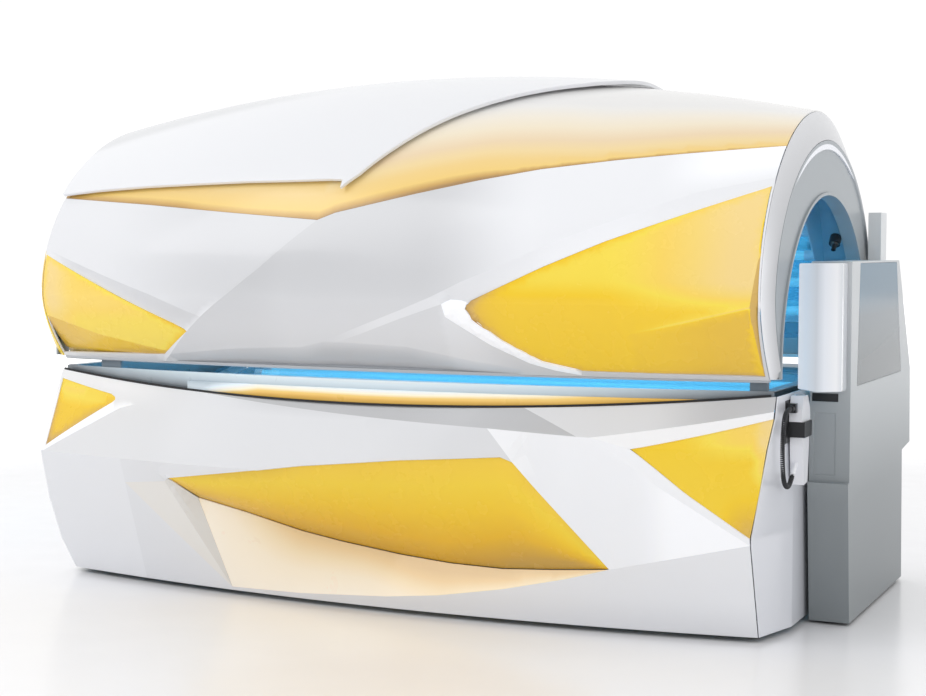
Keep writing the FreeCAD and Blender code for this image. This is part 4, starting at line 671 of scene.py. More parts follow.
V_LINE = [(-1112, 1156), (-734, 1130), (-435, 1105), (-112, 1080), (-60, 1099), (174, 1148),
          (344, 1181), (507, 1208), (701, 1229), (860, 1243), (1112, 1262)]
CAN_LENS_LEFT = [(-1109, 986), (-560, 777), (-552, 770), (-676, 697), (-1109, 688)]
CAN_LENS_RIGHT = [(354, 847), (357, 857), (370, 869), (563, 957), (718, 1021), (898, 1085),
                  (1107, 1158), (1107, 872), (1104, 685), (640, 690), (540, 712), (444, 766),
                  (372, 824)]
WING_LOW = [(-1112, 1157), (-955, 1167), (-749, 1175), (-558, 1179), (-376, 1182), (-204, 1182),
            (-96, 1183), (-56, 1181)]
WING_EDGE = [(-56, -22), (-8, 4), (66, 62), (190, 167), (336, 281), (490, 398), (560, 470),
             (605, 560), (630, 700)]
CREASE = [(-112, 1080), (-195, 1017), (-279, 950), (-372, 886), (-474, 822), (-488, 813),
          (-555, 768), (-650, 700), (-684, 677)]
SPLIT_W = w_of_y(0, 700.0)
EDGE_W = -SKIRT_W


def away(line, x, y):
    """Distance of a point from a polyline, and on which side of it the point lies."""
    best, side = 1e9, 1.0
    for (xa, ya), (xb, yb) in zip(line, line[1:]):
        dx, dy = xb - xa, yb - ya
        t = clamp(((x - xa) * dx + (y - ya) * dy) / (dx * dx + dy * dy))
        d = math.hypot(x - xa - t * dx, y - ya - t * dy)
        if d < best:
            best = d
            side = 1.0 if dx * (y - ya) - dy * (x - xa) > 0 else -1.0
    return best, side


def inset(loop, depth):
    """Closed outline drawn in by a depth, or out by a negative one."""
    area = sum(a[0] * b[1] - b[0] * a[1] for a, b in zip(loop, loop[1:] + loop[:1]))
    turn = math.copysign(depth, area)
    points = []
    for i, (x, y) in enumerate(loop):
        before, after = loop[i - 1], loop[(i + 1) % len(loop)]
        dx, dy = after[0] - before[0], after[1] - before[1]
        reach = math.hypot(dx, dy)
        points.append((x - dy / reach * turn, y + dx / reach * turn))
    return points


STRIP = [(-1112, 1001), (-994, 967), (-827, 918), (-667, 873), (-488, 813)]
BAND_TOP = [(-98, 751), (36, 798), (165, 843), (254, 877), (339, 917), (447, 959), (600, 1025),
            (796, 1096), (936, 1144), (1112, 1178)]
BAND_LOW = [(-98, 738), (30, 776), (161, 820), (286, 859)]
LOW_RIDGE = [(-650, 700), (-383, 726), (-175, 734), (-98, 751), (-34, 752), (160, 744),
             (330, 712), (470, 690)]
LIP_OUTER = [(286, 859), (294, 827), (352, 791), (408, 755), (503, 708), (567, 690), (634, 679)]
LIP_TOP = [(286, 859), (311, 870), (343, 868), (362, 861)]


def turns(line):
    """A fold as a short polyline of the flat domain."""
    return flat_from_z(line, 70.0)


V_FLAT = flat_from_z(V_LINE)
RIGHT_RING = flat_from_z(CAN_LENS_RIGHT, 20.0, True)
LEFT_RING = flat_from_z(CAN_LENS_LEFT, 20.0, True)
RIGHT_EDGE, LEFT_EDGE = [turns(line + line[:1]) for line in (CAN_LENS_RIGHT, CAN_LENS_LEFT)]
CREASE_TURN, STRIP_TURN, TOP_TURN, LOW_TURN, RIDGE_TURN, LIP_TURN, LIP_END = FOLDS = [
    turns(line) for line in (CREASE, STRIP, BAND_TOP, BAND_LOW, LOW_RIDGE, LIP_OUTER, LIP_TOP)]
LIP_LOOP = LIP_TURN + turns([(640, 700), (480, 790), (362, 861)]) + LIP_END[:0:-1]


def level_at(chain, x):
    """Height of a polyline at a station, or None past its ends."""
    for (xa, ya), (xb, yb) in zip(chain, chain[1:]):
        if min(xa, xb) <= x <= max(xa, xb) and xa != xb:
            return ya + (yb - ya) * (x - xa) / (xb - xa)
    return None


def v_height(x):
    """Height of the V line in the flat domain at a station."""
    return level_at(V_FLAT, max(V_FLAT[0][0], min(V_FLAT[-1][0], x)))


def below(chain, x, y):
    """How far a point lies below a polyline; negative above it or past its ends."""
    level = level_at(chain, x)
    return level - y if level is not None else -1.0


def right_of(line, x, y):
    """Distance of a point on a fold's right from it, or nothing on its left."""
    d, side = away(line, x, y)
    return d if side > 0 else 0.0


def panel_relief(x, y):
    """How far the front panel stands off the plain shell: folds and lens lips."""
    off = 0.0
    crease = right_of(CREASE_TURN, x, y)
    if crease:
        fade = ease((640 - x) / 560.0) * ease((v_height(x) - y) / 170.0)
        off -= 7.0 * (1.0 - math.exp(-crease / 60.0)) * fade
    d = below(STRIP_TURN, x, y)
    if d > 0 and not crease:
        off -= min(6.0, 0.16 * d) * ease(away(CREASE_TURN, x, y)[0] / 50.0)
    d = below(TOP_TURN, x, y)
    if d > 0 and x > 300 and y > RIGHT_EDGE[1][1]:
        off -= 3.5 * ease(d / 26.0)
    d = below(RIDGE_TURN, x, y)
    if d > 0:
        off -= 0.22 * d
    if inside(LIP_LOOP, x, y):
        off += min(5.0, 0.5 * away(LIP_TURN, x, y)[0], 0.5 * away(LIP_END, x, y)[0])
    return off


def panel_tone(x, y):
    """Painted shade of the front panel: a light left face, a greyer hollow right of its crease,
    painted highlights along the crease and on the lens lip, painted shade below the low ridge.
    """
    rise = v_height(x) - y
    if not right_of(CREASE_TURN, x, y):
        level = 236.0 - 14.0 * ease((x + 900.0) / 500.0) + 5.0 * ease((rise - 120.0) / 200.0)
        if below(STRIP_TURN, x, y) > 0:
            edge = away(LEFT_EDGE, x, y)[0]
            level = 219.0 + 14.0 * math.exp(-edge / 16.0) + 14.0 * ease((-960.0 - x) / 150.0)
        # painted highlight along the crease's lower part
        return level + 20.0 * math.exp(-away(CREASE_TURN, x, y)[0] / 5.0) * ease((-y) / 60.0)
    # painted highlight on the raised lip by the right lens
    if inside(LIP_LOOP, x, y):
        return 264.0
    level = 213.0 + 33.0 * ease((x + 0.12 * (y - 100.0) - 210.0) / 330.0)
    level += 8.0 * ease((x - 800.0) / 200.0) * ease((150.0 - rise) / 100.0)
    level += 14.0 * ease((120.0 - y) / 260.0) - 5.0 * ease((-180.0 - x) / 150.0)
    if below(TOP_TURN, x, y) > 0:
        if x > 286:
            level = 228.0 + 20.0 * ease((x - 165.0) / 450.0) - 4.0 * ease((x - 700.0) / 300.0)
            if y < LIP_TURN[0][1]:
                level = 232.0 - 16.0 * ease((x - 330.0) / 170.0)
        elif below(LOW_TURN, x, y) < 0:
            level += 15.0 * ease((x + 90.0) / 200.0)
    # painted shade below the low ridge
    d = below(RIDGE_TURN, x, y)
    return level - min(26.0, 0.6 * d) if d > 0 else level


def canopy_patch(name, lines, keep, relief, step, mat, nodes, wall, angle=24.0, width=2.0,
                 slots=None, level=None, glow=None):
    flat, faces, _ = patch(lines, step, lambda x, y: 0 if keep(x, y) else None)
    points = [can_point(x, y / ARC_MM, relief(x, y)) for x, y in flat]
    obj = piece(name, points, [face[::-1] for face in faces], mat, "canopy", nodes, slots)
    if level:
        tone(obj, flat, level)
    if glow:
        on_corners(obj, flat, glow, "fade")
    soften(obj, width, angle, 2, wall)


# ------------------------------------------------------------------- painted fields
def paint(obj, value, name="fade"):
    """Per-vertex field of a bed-coordinate function."""
    layer = obj.data.attributes.new(name, "FLOAT", "POINT")
    for item, v in zip(layer.data, obj.data.vertices):
        x, y, z = (v.co - SHIFT) * 1000.0
        item.value = clamp(value(x, y, z))


# ------------------------------------------------------------------- base, outside
BASE_LIP = [(-1110, 391), (-939, 463), (-833, 511), (-773, 526)]
PEAK = BASE_LIP[-1]
WINDOW_BULGE = 20.0       # how far the window lens swells out at its middle
LENS_SINK = 2.5           # how far a lens lies behind the panel round it
LENS_GAP = 1.0            # joint between a lens and its hole
END_MID_Y = 690.0         # station between an end cover's corner and its back edge
# painted shade of each facet of the front, as a tone, by its number in FACETS
FACET_TONE = {0: 236, 1: 181, 2: 229, 3: 249, 4: 250, 5: 250, 6: 245, 7: 244, 8: 244, 9: 238,
              10: 240, 11: 238, 12: 228}
WARM_FACETS = (11, 12)


def facet_tone(x, z, number):
    """A facet's painted shade, with the slow changes across it, and a painted highlight on
    the lip by the left lens.
    """
    level = FACET_TONE[number]
    if number == 0:
        level += 5.0 * ease((x - 150.0) / 300.0) - 14.0 * ease((x + 900.0) / 700.0)
        level += 12.0 * ease((z - 500.0) / 60.0) * ease((-560.0 - x) / 300.0)
        level -= 12.0 * ease((z - 535.0) / 34.0) * ease((x + 500.0) / 250.0)
        # painted highlight on the raised lip beside the left lens
        if x < PEAK[0] and z < PEAK[1] and below(BASE_LIP, x, z) < 0:
            level = 262.0
    if number == 1:
        level += 16.0 * ease((x - 50.0) / 350.0)
    if number == 2:
        level -= 27.0 * ease((x - 800.0) / 220.0)
    if number == 3:
        level += 12.0 * ease((x - 780.0) / 220.0)
    if number == 6:
        level -= 9.0 * ease((120.0 - z) / 100.0)
    return level


facet_piece("front_shell", FACETS, 26.0,
            {i: SHELL_WARM if i in WARM_FACETS else SHELL_WHITE for i in FACET_TONE},
            "base", ["base_front_panel"], WALL, hole=inset(fine(LEFT_LENS, 30.0, True), -0.6),
            slots="white_shell", level=facet_tone, folds=[BASE_LIP])


def share_up(upper, lower, x, z):
    """Share of the way from one chain up to another, and the height between them."""
    top, low = at(upper, x), at(lower, x)
    if not top or not low or top[0] - low[0] < 1:
        return None, 0.0
    return (z - low[0]) / (top[0] - low[0]), top[0] - low[0]


def window_bulge(x, z):
    t, height = share_up(WINDOW, WINDOW_SILL, x, z)
    if t is None:
        return 0.0
    return -WINDOW_BULGE * math.sin(math.pi * clamp(t)) * min(1.0, height / 120.0)


window = facet_piece("window_lens", [(WINDOW, WINDOW_SILL)], 24.0, WINDOW_GLOW, "base",
                     ["base_window_lens"], LENS_WALL, window_bulge, WALL + GAP,
                     slots="amber_lens", angle=25.0, round_off=1.5)


def window_fade(x, y, z):
    """Painted shade: darker along the sill, where the lens turns under, and at both ends, and
    lightest along the top edge.
    """
    t, _ = share_up(WINDOW, WINDOW_SILL, x, z - rim_lift(x, z))
    if t is None:
        return 0.3
    right = max(0.0, (x - 250.0) / 450.0)
    return 0.08 + 0.95 * t - 0.28 * right * (1 - t) - 0.10 * ease((-420 - x) / 200.0)


paint(window, window_fade)
SCOOP_LOW = [WINDOW_SILL[1]] + SCOOP_EDGE
scoop = facet_piece("scoop", [(WINDOW_SILL[1:], SCOOP_LOW)], 24.0, SCOOP_GLOW, "base",
                    ["base_scoop"], WALL, slots="cream_panel", angle=25.0, round_off=1.2)


# painted window light: warm at the sill, a warm painted highlight to the right, darker at the left
# end
def scoop_fade(x, y, z):
    t, _ = share_up(WINDOW_SILL, SCOOP_LOW, x, z)
    if t is None:
        return 0.6
    fade = 0.1 + 0.85 * t * ease((x + 620) / 450.0)
    fade += 0.45 * ease((x + 40.0) / 300.0) * (1 - 0.5 * t)
    return fade + 0.5 * ease((-500.0 - x) / 60.0)


paint(scoop, scoop_fade)


def lens_in_panel(name, outline, nodes):
    """Lens plate just behind the panel round it, a gap smaller than its hole."""
    ring = inset(fine(outline, 20.0, True), LENS_GAP)
    flat, faces, _ = patch([ring + ring[:1]], 22.0,
                           lambda x, z: 0 if inside(ring, x, z) else None)
    points = []
    for x, z in flat:
        found = setback(FACETS, x, z, 0.3) or setback(FACETS, x, z, 6.0, 16.0)
        points.append(on_front(x, z, found[1] + LENS_SINK))
    obj = piece(name, points, faces, LENS_GLOW, "base", nodes, "amber_lens")
    on_corners(obj, flat, low_left_fade, "fade")
    soften(obj, 1.0, 30.0, 2, LENS_WALL)


def edge_shade(outline, x, z, reach=10.0):
    """Darker rim of a lens, where light leaks less."""
    return 0.30 * math.exp(-away(outline + outline[:1], x, z)[0] / reach)


def low_left_fade(x, z):
    fade = 0.42 + 0.38 * ease((z - 492) / 56.0) - 0.10 * ease((450 - z) / 50.0)
    return fade - edge_shade(LEFT_LENS, x, z)


def low_right_fade(x, y, z):
    fade = 0.45 + 0.30 * ease((z - 478) / 50.0) * ease((x - 880) / 180.0)
    fade -= 0.28 * ease((400 - z) / 110.0) * ease((x - 1000) / 80.0)
    return fade + 0.35 * ease((x - 1085) / 25.0) * ease((z - 400) / 60.0)


lens_in_panel("lens_low_left", LEFT_LENS, ["base_lens_left"])
right = facet_piece("lens_low_right", RIGHT_LENS, 22.0, LENS_GLOW, "base", ["base_lens_right"],
                    LENS_WALL, None, WALL + GAP, slots="amber_lens", round_off=1.5, angle=4.0)
paint(right, low_right_fade)


def end_cover(side):
    """End face with its long corner chamfer, swept from the front panel's end edge."""
    near = WALL + GAP
    deep = near + LENS_WALL + GAP
    if side > 0:
        edge = [(RIGHT_FOOT, near), (RIGHT_KNEE, near), (RIGHT_TIP, deep), (RIGHT_FOLD, deep),
                (RIGHT_BORDER, deep), (RIGHT_RIM, near)]
    else:
        edge = [(p, near) for p in (LEFT_FOOT, LEFT_LOW, LEFT_MID, LEFT_NOSE, LEFT_RIM)]
    front = [on_front(*p, inward) for p, inward in edge]
    loops = [front] + [[(side * END_HALF, y, p[2]) for p in front]
                       for y in (CORNER_Y, END_MID_Y, BASE_BACK)]
    name = "end_cover_right" if side > 0 else "end_cover_left"
    # the right end cover wears the white plastic with painted shade
    obj = piece(name, *side_mesh(loops, side), PALE if side > 0 else WHITE, "base",
                ["base_" + name], "white_shell")
    soften(obj, 3.0, 8.0, 3, WALL)


end_cover(-1)
end_cover(1)


# ----------------------------------------------------------------- canopy, outside
LINE_STEP = 22.0          # distance of points along the canopy's plain lines
BAND_SINK = 1.2           # how far the light band lies behind the shell's surface


def line_w(w, x0=-CAN_HALF, x1=CAN_HALF):
    """Line along the canopy at one angle, in the flat domain."""
    return fine([(x0, ARC_MM * w), (x1, ARC_MM * w)], LINE_STEP)


def side_w(x, w0, w1):
    """Line round the arch at one station, in the flat domain."""
    return fine([(x, ARC_MM * w0), (x, ARC_MM * w1)], LINE_STEP)


SILL = [(p[0], ARC_MM * EDGE_W) for p in line_w(EDGE_W)]


def in_front_panel(x, y):
    """Whether a point lies below the V line and outside both lenses."""
    return (ARC_MM * EDGE_W < y < v_height(x) and abs(x) < CAN_HALF
            and not inside(RIGHT_RING, x, y) and not inside(LEFT_RING, x, y))


LENS_ROOM = [inset(loop, -3.0) for loop in (RIGHT_RING, LEFT_RING)]


def outside_lenses(line):
    """A fold's points that keep clear of the lenses."""
    return [p for p in line if not any(inside(loop, *p) for loop in LENS_ROOM)]


v_left, v_right = w_of_z(*V_LINE[0]), w_of_z(*V_LINE[-1])
canopy_patch("canopy_front", [V_FLAT, SILL, side_w(-CAN_HALF, EDGE_W, v_left),
                              side_w(CAN_HALF, EDGE_W, v_right),
                              RIGHT_RING + RIGHT_RING[:1], LEFT_RING + LEFT_RING[:1]]
             + [outside_lenses(fine(line, 20.0)) for line in FOLDS],
             in_front_panel, panel_relief, 18.0, SHELL_WHITE, ["canopy_front_panel"], SHELL,
             angle=8.0, width=1.5, slots="white_shell", level=panel_tone)


def band_fade(x, y):
    """Amber next to the V line and white towards the top."""
    rise = y - v_height(x)
    fade = rise / 300.0 + 0.16 * ease((x - 300.0) / 400.0) * ease(rise / 22.0)
    return fade if x > -100 else min(fade, 0.22)


canopy_patch("light_band", [V_FLAT, line_w(SPLIT_W), side_w(-CAN_HALF, v_left, SPLIT_W),
                            side_w(CAN_HALF, v_right, SPLIT_W)],
             lambda x, y: v_height(x) < y < ARC_MM * SPLIT_W and abs(x) < CAN_HALF,
             lambda x, y: -BAND_SINK, 28.0, BAND_GLOW, ["canopy_light_band"], SHELL,
             slots="amber_lens", glow=band_fade)

canopy_patch("canopy_rear", [line_w(SPLIT_W), line_w(180 + SKIRT_W), line_w(180),
                             side_w(-CAN_HALF, SPLIT_W, 180 + SKIRT_W),
                             side_w(CAN_HALF, SPLIT_W, 180 + SKIRT_W)],
             lambda x, y: ARC_MM * SPLIT_W < y < ARC_MM * (180 + SKIRT_W) and abs(x) < CAN_HALF,
             lambda x, y: 0.0, 34.0, WHITE, ["canopy_rear_cover"], SHELL, slots="white_shell")


def wing_tone(x, y):
    """Painted shade: nearly white, and greyer where the top turns away at its left."""
    back = ease((y - 540.0 - 0.16 * (x + 1112.0)) / 60.0) * ease((-200.0 - x) / 500.0)
    return 240.0 - 22.0 * back


WING_FLAT = flat_from_z(WING_LOW)
WING_PLAN = [(x, ARC_MM * w_of_y(x, y)) for x, y in fine(WING_EDGE, 20.0)]
WING_TOP = line_w(SPLIT_W, -CAN_HALF, WING_PLAN[-1][0])
WING_LOOP = WING_FLAT + WING_PLAN + WING_TOP[::-1]
canopy_patch("canopy_wing_panel", [WING_FLAT, [WING_FLAT[-1]] + WING_PLAN, WING_TOP,
                                   side_w(-CAN_HALF, w_of_z(*WING_LOW[0]), SPLIT_W)],
             lambda x, y: inside(WING_LOOP, x, y),
             lambda x, y: LIP, 28.0, SHELL_WHITE, ["canopy_wing"], LIP - GAP,
             angle=30.0, width=2.5, slots="white_shell", level=wing_tone)

LENS_V = [(1107, 1156), (1105, 1000), (1096, 927), (1087, 858), (1096, 765), (1101, 686)]
LENS_H = [(1087, 858), (973, 832), (849, 804), (786, 791)]
LEFT_FOLD = [(-1109, 806), (-907, 752), (-640, 705)]
V_TURN, H_TURN, F_TURN = [turns(line) for line in (LENS_V, LENS_H, LEFT_FOLD)]


def right_lens_relief(x, y):
    off = -LENS_SINK - 0.55 * right_of(V_TURN, x, y)
    d = below(H_TURN, x, y)
    share = ease((x - 786.0) / 250.0)
    off += 5.0 * share * math.exp(-away(H_TURN, x, y)[0] / 70.0)
    return off - (4.0 * share * ease(d / 60.0) if d > 0 else 0.0)


# painted shade and highlight: dark right of the V fold, darker below the H fold, bright along it
def right_lens_fade(x, y):
    if right_of(V_TURN, x, y) > 0.05:
        return 0.12 + 0.06 * ease((y - 100.0) / 250.0)
    fade = 0.44 + 0.18 * ease(y / 70.0)
    fade += 0.40 * ease((x - 700.0) / 400.0) * ease((y + 40.0) / 70.0)
    if below(H_TURN, x, y) > 0:
        fade = 0.40 - 0.13 * ease((x - 800.0) / 260.0)
    fade -= 0.26 * math.exp(-(x - 370.0) / 45.0)
    fade += 0.40 * math.exp(-away(H_TURN, x, y)[0] / 3.0) * ease((x - 760.0) / 200.0)
    return fade - 0.8 * edge_shade(RIGHT_EDGE[:-1], x, y, 7.0)


def left_lens_relief(x, y):
    d = below(F_TURN, x, y)
    return -LENS_SINK - (0.22 * d if d > 0 else 0.0)


# painted shade: darker below the fold and along the rim, lighter at the left end
def left_lens_fade(x, y):
    fade = 0.66 + 0.14 * ease((y + 110.0) / 80.0) + 0.2 * ease((-960.0 - x) / 120.0)
    if below(F_TURN, x, y) > 0:
        fade = 0.36 - 0.10 * ease((-950.0 - x) / 120.0)
    return fade - edge_shade(LEFT_EDGE[:-1], x, y, 7.0)


def beside(line, gap):
    """The same open polyline moved sideways by a gap."""
    moved = []
    for i, (x, y) in enumerate(line):
        (xa, ya), (xb, yb) = line[max(0, i - 1)], line[min(len(line) - 1, i + 1)]
        reach = math.hypot(xb - xa, yb - ya)
        moved.append((x - (yb - ya) / reach * gap, y + (xb - xa) / reach * gap))
    return moved


def lens_on_canopy(name, outline, node, folds, relief, glow):
    """Lens plate in the canopy's front, with points close along both sides of its folds."""
    ring = inset(flat_from_z(outline, 20.0, True), LENS_GAP)
    folds = [line for fold in folds for line in (fold, beside(fold, 4.5), beside(fold, -4.5))]
    room = inset(ring, 2.0)
    lines = [[p for p in fine(fold, 16.0) if inside(room, *p)] for fold in folds]
    canopy_patch(name, [ring + ring[:1]] + lines, lambda x, y: inside(ring, x, y), relief,
                 20.0, LENS_GLOW, [node], LENS_WALL, angle=5.0, width=1.2, slots="amber_lens",
                 glow=glow)


lens_on_canopy("lens_top_right", CAN_LENS_RIGHT, "canopy_lens_right", [V_TURN, H_TURN],
               right_lens_relief, right_lens_fade)
lens_on_canopy("lens_top_left", CAN_LENS_LEFT, "canopy_lens_left", [F_TURN],
               left_lens_relief, left_lens_fade)


# ------------------------------------------------------------------------ end rings
RING_SLIM = (CAN_DEPTH - RING_DEPTH) / 2
RING_COUNT = 150          # points along each of a ring's loops
FACE_STEP = 5.0           # how far a ring's face lies behind its crease
LEFT_LIT_TOP = 984.0      # the left ring's rim is amber below this height
ROUND = [EDGE_W + (180 + 2 * SKIRT_W) * i / 240.0 for i in range(241)]


def ring_point(side, w, drawn_in, out):
    """Point of an end ring, drawn in from its crease, at a distance out from the shell."""
    return arch_point(side * (CAN_HALF + out), w, RING_DEPTH, REAR_DEPTH - RING_SLIM, RING_RISE,
                      CAN_EDGE_IN - RING_SLIM, -drawn_in)


def stations(line, count):
    """Segment and place in it, for evenly spaced points along a polyline."""
    marks = [0.0]
    for p, q in zip(line, line[1:]):
        marks.append(marks[-1] + math.dist(p, q))
    found, k = [], 0
    for i in range(count):
        s = marks[-1] * i / (count - 1)
        while k < len(line) - 2 and marks[k + 1] < s:
            k += 1
        found.append((k, min(1.0, (s - marks[k]) / max(1e-9, marks[k + 1] - marks[k]))))
    return found


def evenly(line):
    """The same polyline as evenly spaced points."""
    return [tuple(a + (b - a) * t for a, b in zip(line[k], line[k + 1]))
            for k, t in stations(line, RING_COUNT)]


def arch_loop(x, offset):
    """The tunnel's outline at one station, evenly spaced along its length."""
    a, b = TUN_A + offset, TUN_B + offset
    angles = [math.radians(t) for t in range(0, 181, 2)]
    line = [(TUN_Y - a, CAN_EDGE_Z)]
    line += [(TUN_Y - a * math.cos(t), TUN_Z + b * math.sin(t)) for t in angles]
    line += [(TUN_Y + a, CAN_EDGE_Z)]
    return [(x, y, z) for y, z in evenly(line)]


def between(a, b, t):
    """Loop a share of the way from one loop to another."""
    return [tuple(p + (q - p) * t for p, q in zip(u, v)) for u, v in zip(a, b)]


def rim_tone(x, y, z):
    """Ring chamfer's painted shade: white next to the shell and greyer at its crease, and over the
    top.
    """
    out = max(0.0, (abs(x) - CAN_HALF) / RING_OUT)
    low = 1.0 - ease((z - 930.0) / 200.0)
    level = 218.0 - 16.0 * out + low * (34.0 * ease((0.75 - out) / 0.5) - 4.0)
    return level / 255.0


def ring_band(name, side, span, gap, wide, mat, slot):
    """Raised strip along the ring's crease, tapered to both ends."""
    count, foot, raised = 60, RING_OUT - 6.0, RING_OUT + 2.0
    rows = []
    for i in range(count + 1):
        w = span[0] + (span[1] - span[0]) * i / count
        far = gap + max(0.6, wide * math.sin(math.pi * i / count) ** 0.5)
        section = ((gap, foot), (gap, raised), (far, raised), (far, foot))
        rows.append([ring_point(side, w, *place) for place in section])
    loops = list(zip(*rows))
    soften(piece(name, *side_mesh(loops, side), mat, "canopy", (), slot), 0.6, 25.0, 2)


def ring_face(crease, opening, side):
    """A shallow step behind the crease, then flat to the opening."""
    start, step, near = [[(x - side * back, y, z) for x, y, z in loop] for loop, back in (
        (between(crease, opening, 0.06), 0.5), (between(crease, opening, 0.10), FACE_STEP),
        (opening, FACE_STEP))]
    return [crease, start, step, between(step, near, 0.5), near]


def ring(side):
    """End ring: its chamfered rim, flat face, reveal round the tunnel, lip, and a dark strip as
    painted shadow in the gap along the lip.
    """
    name = "ring_right" if side > 0 else "ring_left"
    node = "canopy_" + name
    shell_edge = evenly([(side * (CAN_HALF + 0.3), *can_point(side * CAN_HALF, w)[1:])
                         for w in ROUND])
    crease = evenly([ring_point(side, w, 0.0, RING_OUT) for w in ROUND])
    opening = arch_loop(side * (CAN_HALF + RING_OUT), 0.0)
    points, faces = side_mesh([shell_edge, between(shell_edge, crease, 0.5), crease], side)
    starts = [points[face[0]] for face in faces]
    lit_faces = [int(side < 0 and z < LEFT_LIT_TOP and y < CAN_Y) for x, y, z in starts]
    obj = piece(name + "_rim", points, faces, [SHELL_WHITE, LENS_GLOW], "canopy", [node],
                "white_shell", lit_faces)
    # painted shade of the chamfer
    paint(obj, rim_tone, "tone")
    paint(obj, lambda x, y, z: 0.5 + 0.45 * ease((z - 800) / 20.0))
    soften(obj, 2.0, 20.0, 3, 4.0)
    obj = piece(name + "_face", *side_mesh(ring_face(crease, opening, side), side), RING_FACE,
                "canopy", [node], "ring_grey")
    soften(obj, 1.5, 25.0, 3, 3.0)
    reveal = [arch_loop(side * (CAN_HALF + out), wide) for out, wide in (
        (RING_OUT - 4.0, 5.0), (RING_OUT + 1.5, 5.0), (RING_OUT + 1.5, 0.0), (-12.0, 0.0))]
    obj = piece(name + "_reveal", *side_mesh(reveal, side), RING_FACE, "canopy", (), "ring_grey")
    soften(obj, 1.0, 25.0, 2, 2.0)
    ring_band(name + "_lip", side, (44.0, 128.0), 6.0, 19.0, POD, "white_plastic")
    # dark strip along the lip: painted shadow in the gap
    ring_band(name + "_gap_shadow", side, (72.0, 127.0), -3.0, 8.0, GAP_SHADOW, "black_plastic")


ring(-1)
ring(1)


# ------------------------------------------------------ CAD pieces that stay in view
# material, rounding of the edges in millimetres, and the nodes that wear them
DRESSED = (
    (TOWER, 3.0, "tower_housing"), (POD_SHEEN, 2.5, "tower_pod"), (PANE, 0.8, "tower_window"),
    (DUCT_PALE, 1.0, "exhaust_duct"), (DUCT_GREY, 4.0, "air_duct"), (WHITE, 3.0, "handset"),
    (WHITE, 1.0, "base_rear_cover"), (DARK_GREY, 1.5, "handset_button"),
    (DARK_GREY, 1.0, "canopy_edge_trims"), (RIM_SHADED, 1.5, "bench_rim"),
    (STRIP_GLOW, 0.8, "rim_light_lens"), (RUBBER, 0.6, "rim_gasket"),
    (BUFFER_GREY, 1.5, "rest_buffers"), (ACRYLIC, 0.0, "bench_acrylic", "canopy_acrylic"),
    (LAMP, 0.0, "bench_lamps", "canopy_lamps"),
    (MIRROR, 0.0, "bench_reflector", "canopy_reflector"),
    (HOLDER_WHITE, 0.0, "bench_lamp_holders", "canopy_lamp_holders", "canopy_bulkheads"),
    (HOLDER_WHITE, 1.0, "cooler_unit"), (FRAME_STEEL, 0.0, "canopy_rails", "base_frame"),
    (BLACK, 0.3, "tower_slot"), (BLACK, 0.5, "fan_rotor_left", "fan_rotor_right"),
    (BLACK, 0.6, "air_nozzle", "mains_inlet", "strut_cylinders"), (BLACK, 0.8, "fan_frames"),
    (BLACK, 1.0, "handset_holder", "nozzle_socket", "levelling_feet"), (BLACK, 1.5, "console"),
    (STEEL, 0.0, "base_tray"), (STEEL, 0.4, "strut_rods"), (STEEL, 0.5, "hinge_pins"),
    (STEEL, 0.8, "start_button", "fan_button", "base_brackets", "canopy_brackets"),
    (STEEL, 1.0, "ballasts"))
for mat, width, *nodes in DRESSED:
    for node in nodes:
        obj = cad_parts[node]
        obj.data.materials.clear()
        obj.data.materials.append(mat)
        if width:
            soften(obj, width, 30.0, 2, 0.0, 0.02)
STRIP_TAPER = 330.0       # length over which the strip's cream is drawn in
strip_start = 1000.0 * min(v.co.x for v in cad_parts["rim_light_lens"].data.vertices)


def strip_fade(x, y, z):
    """Amber below, a painted cream highlight and painted blue lamp glow above, drawn in from a
    point at the strip's left end.
    """
    share = (z - rim_lift(x, RIM_MID_Z) - GLOW_LOW) / GLOW_HEIGHT
    return (share + 1.1 * (1.0 - ease((x - strip_start) / STRIP_TAPER))) / 1.25


paint(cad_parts["rim_light_lens"], strip_fade)
# painted shade on the bench rim: 0 at the light strip's lower edge, 1 at the deck
paint(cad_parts["bench_rim"],
      lambda x, y, z: (z - rim_lift(x, RIM_MID_Z) - GLOW_LOW) / (DECK_Z - GLOW_LOW))


# ------------------------------------------------------------------- handset's cord
CORD_X, CORD_Y, CORD_Z = END_HALF + 21.0, 150.0, 597.0
CORD_LEGS = ((36, 180), (40, 222), (72, 262), (72, 278), (40, 318), (36, 360), (36, 402))


def cord_route():
    """Loop beside the end cover, from legs of a length in millimetres and a heading."""
    y, z = CORD_Y, CORD_Z
    route = [(CORD_X, y, z)]
    for length, heading in CORD_LEGS:
        t = math.radians(heading)
        y, z = y + length * math.cos(t), z + length * math.sin(t)
        route.append((CORD_X, y, z))
    return [row(*p) for p in route]


def spline_curve(name, points, radius=0.0):
    curve = bpy.data.curves.new(name, "CURVE")
    curve.dimensions = "3D"
    line = curve.splines.new("NURBS")
    line.points.add(len(points) - 1)
    for item, p in zip(line.points, points):
        item.co = (*p, 1.0)
    line.order_u = 3
    line.use_endpoint_u = True
    line.resolution_u = 8
    if radius:
        curve.bevel_depth = radius
        curve.bevel_resolution = 3
        curve.use_fill_caps = True
    return bpy.data.objects.new(name, curve)


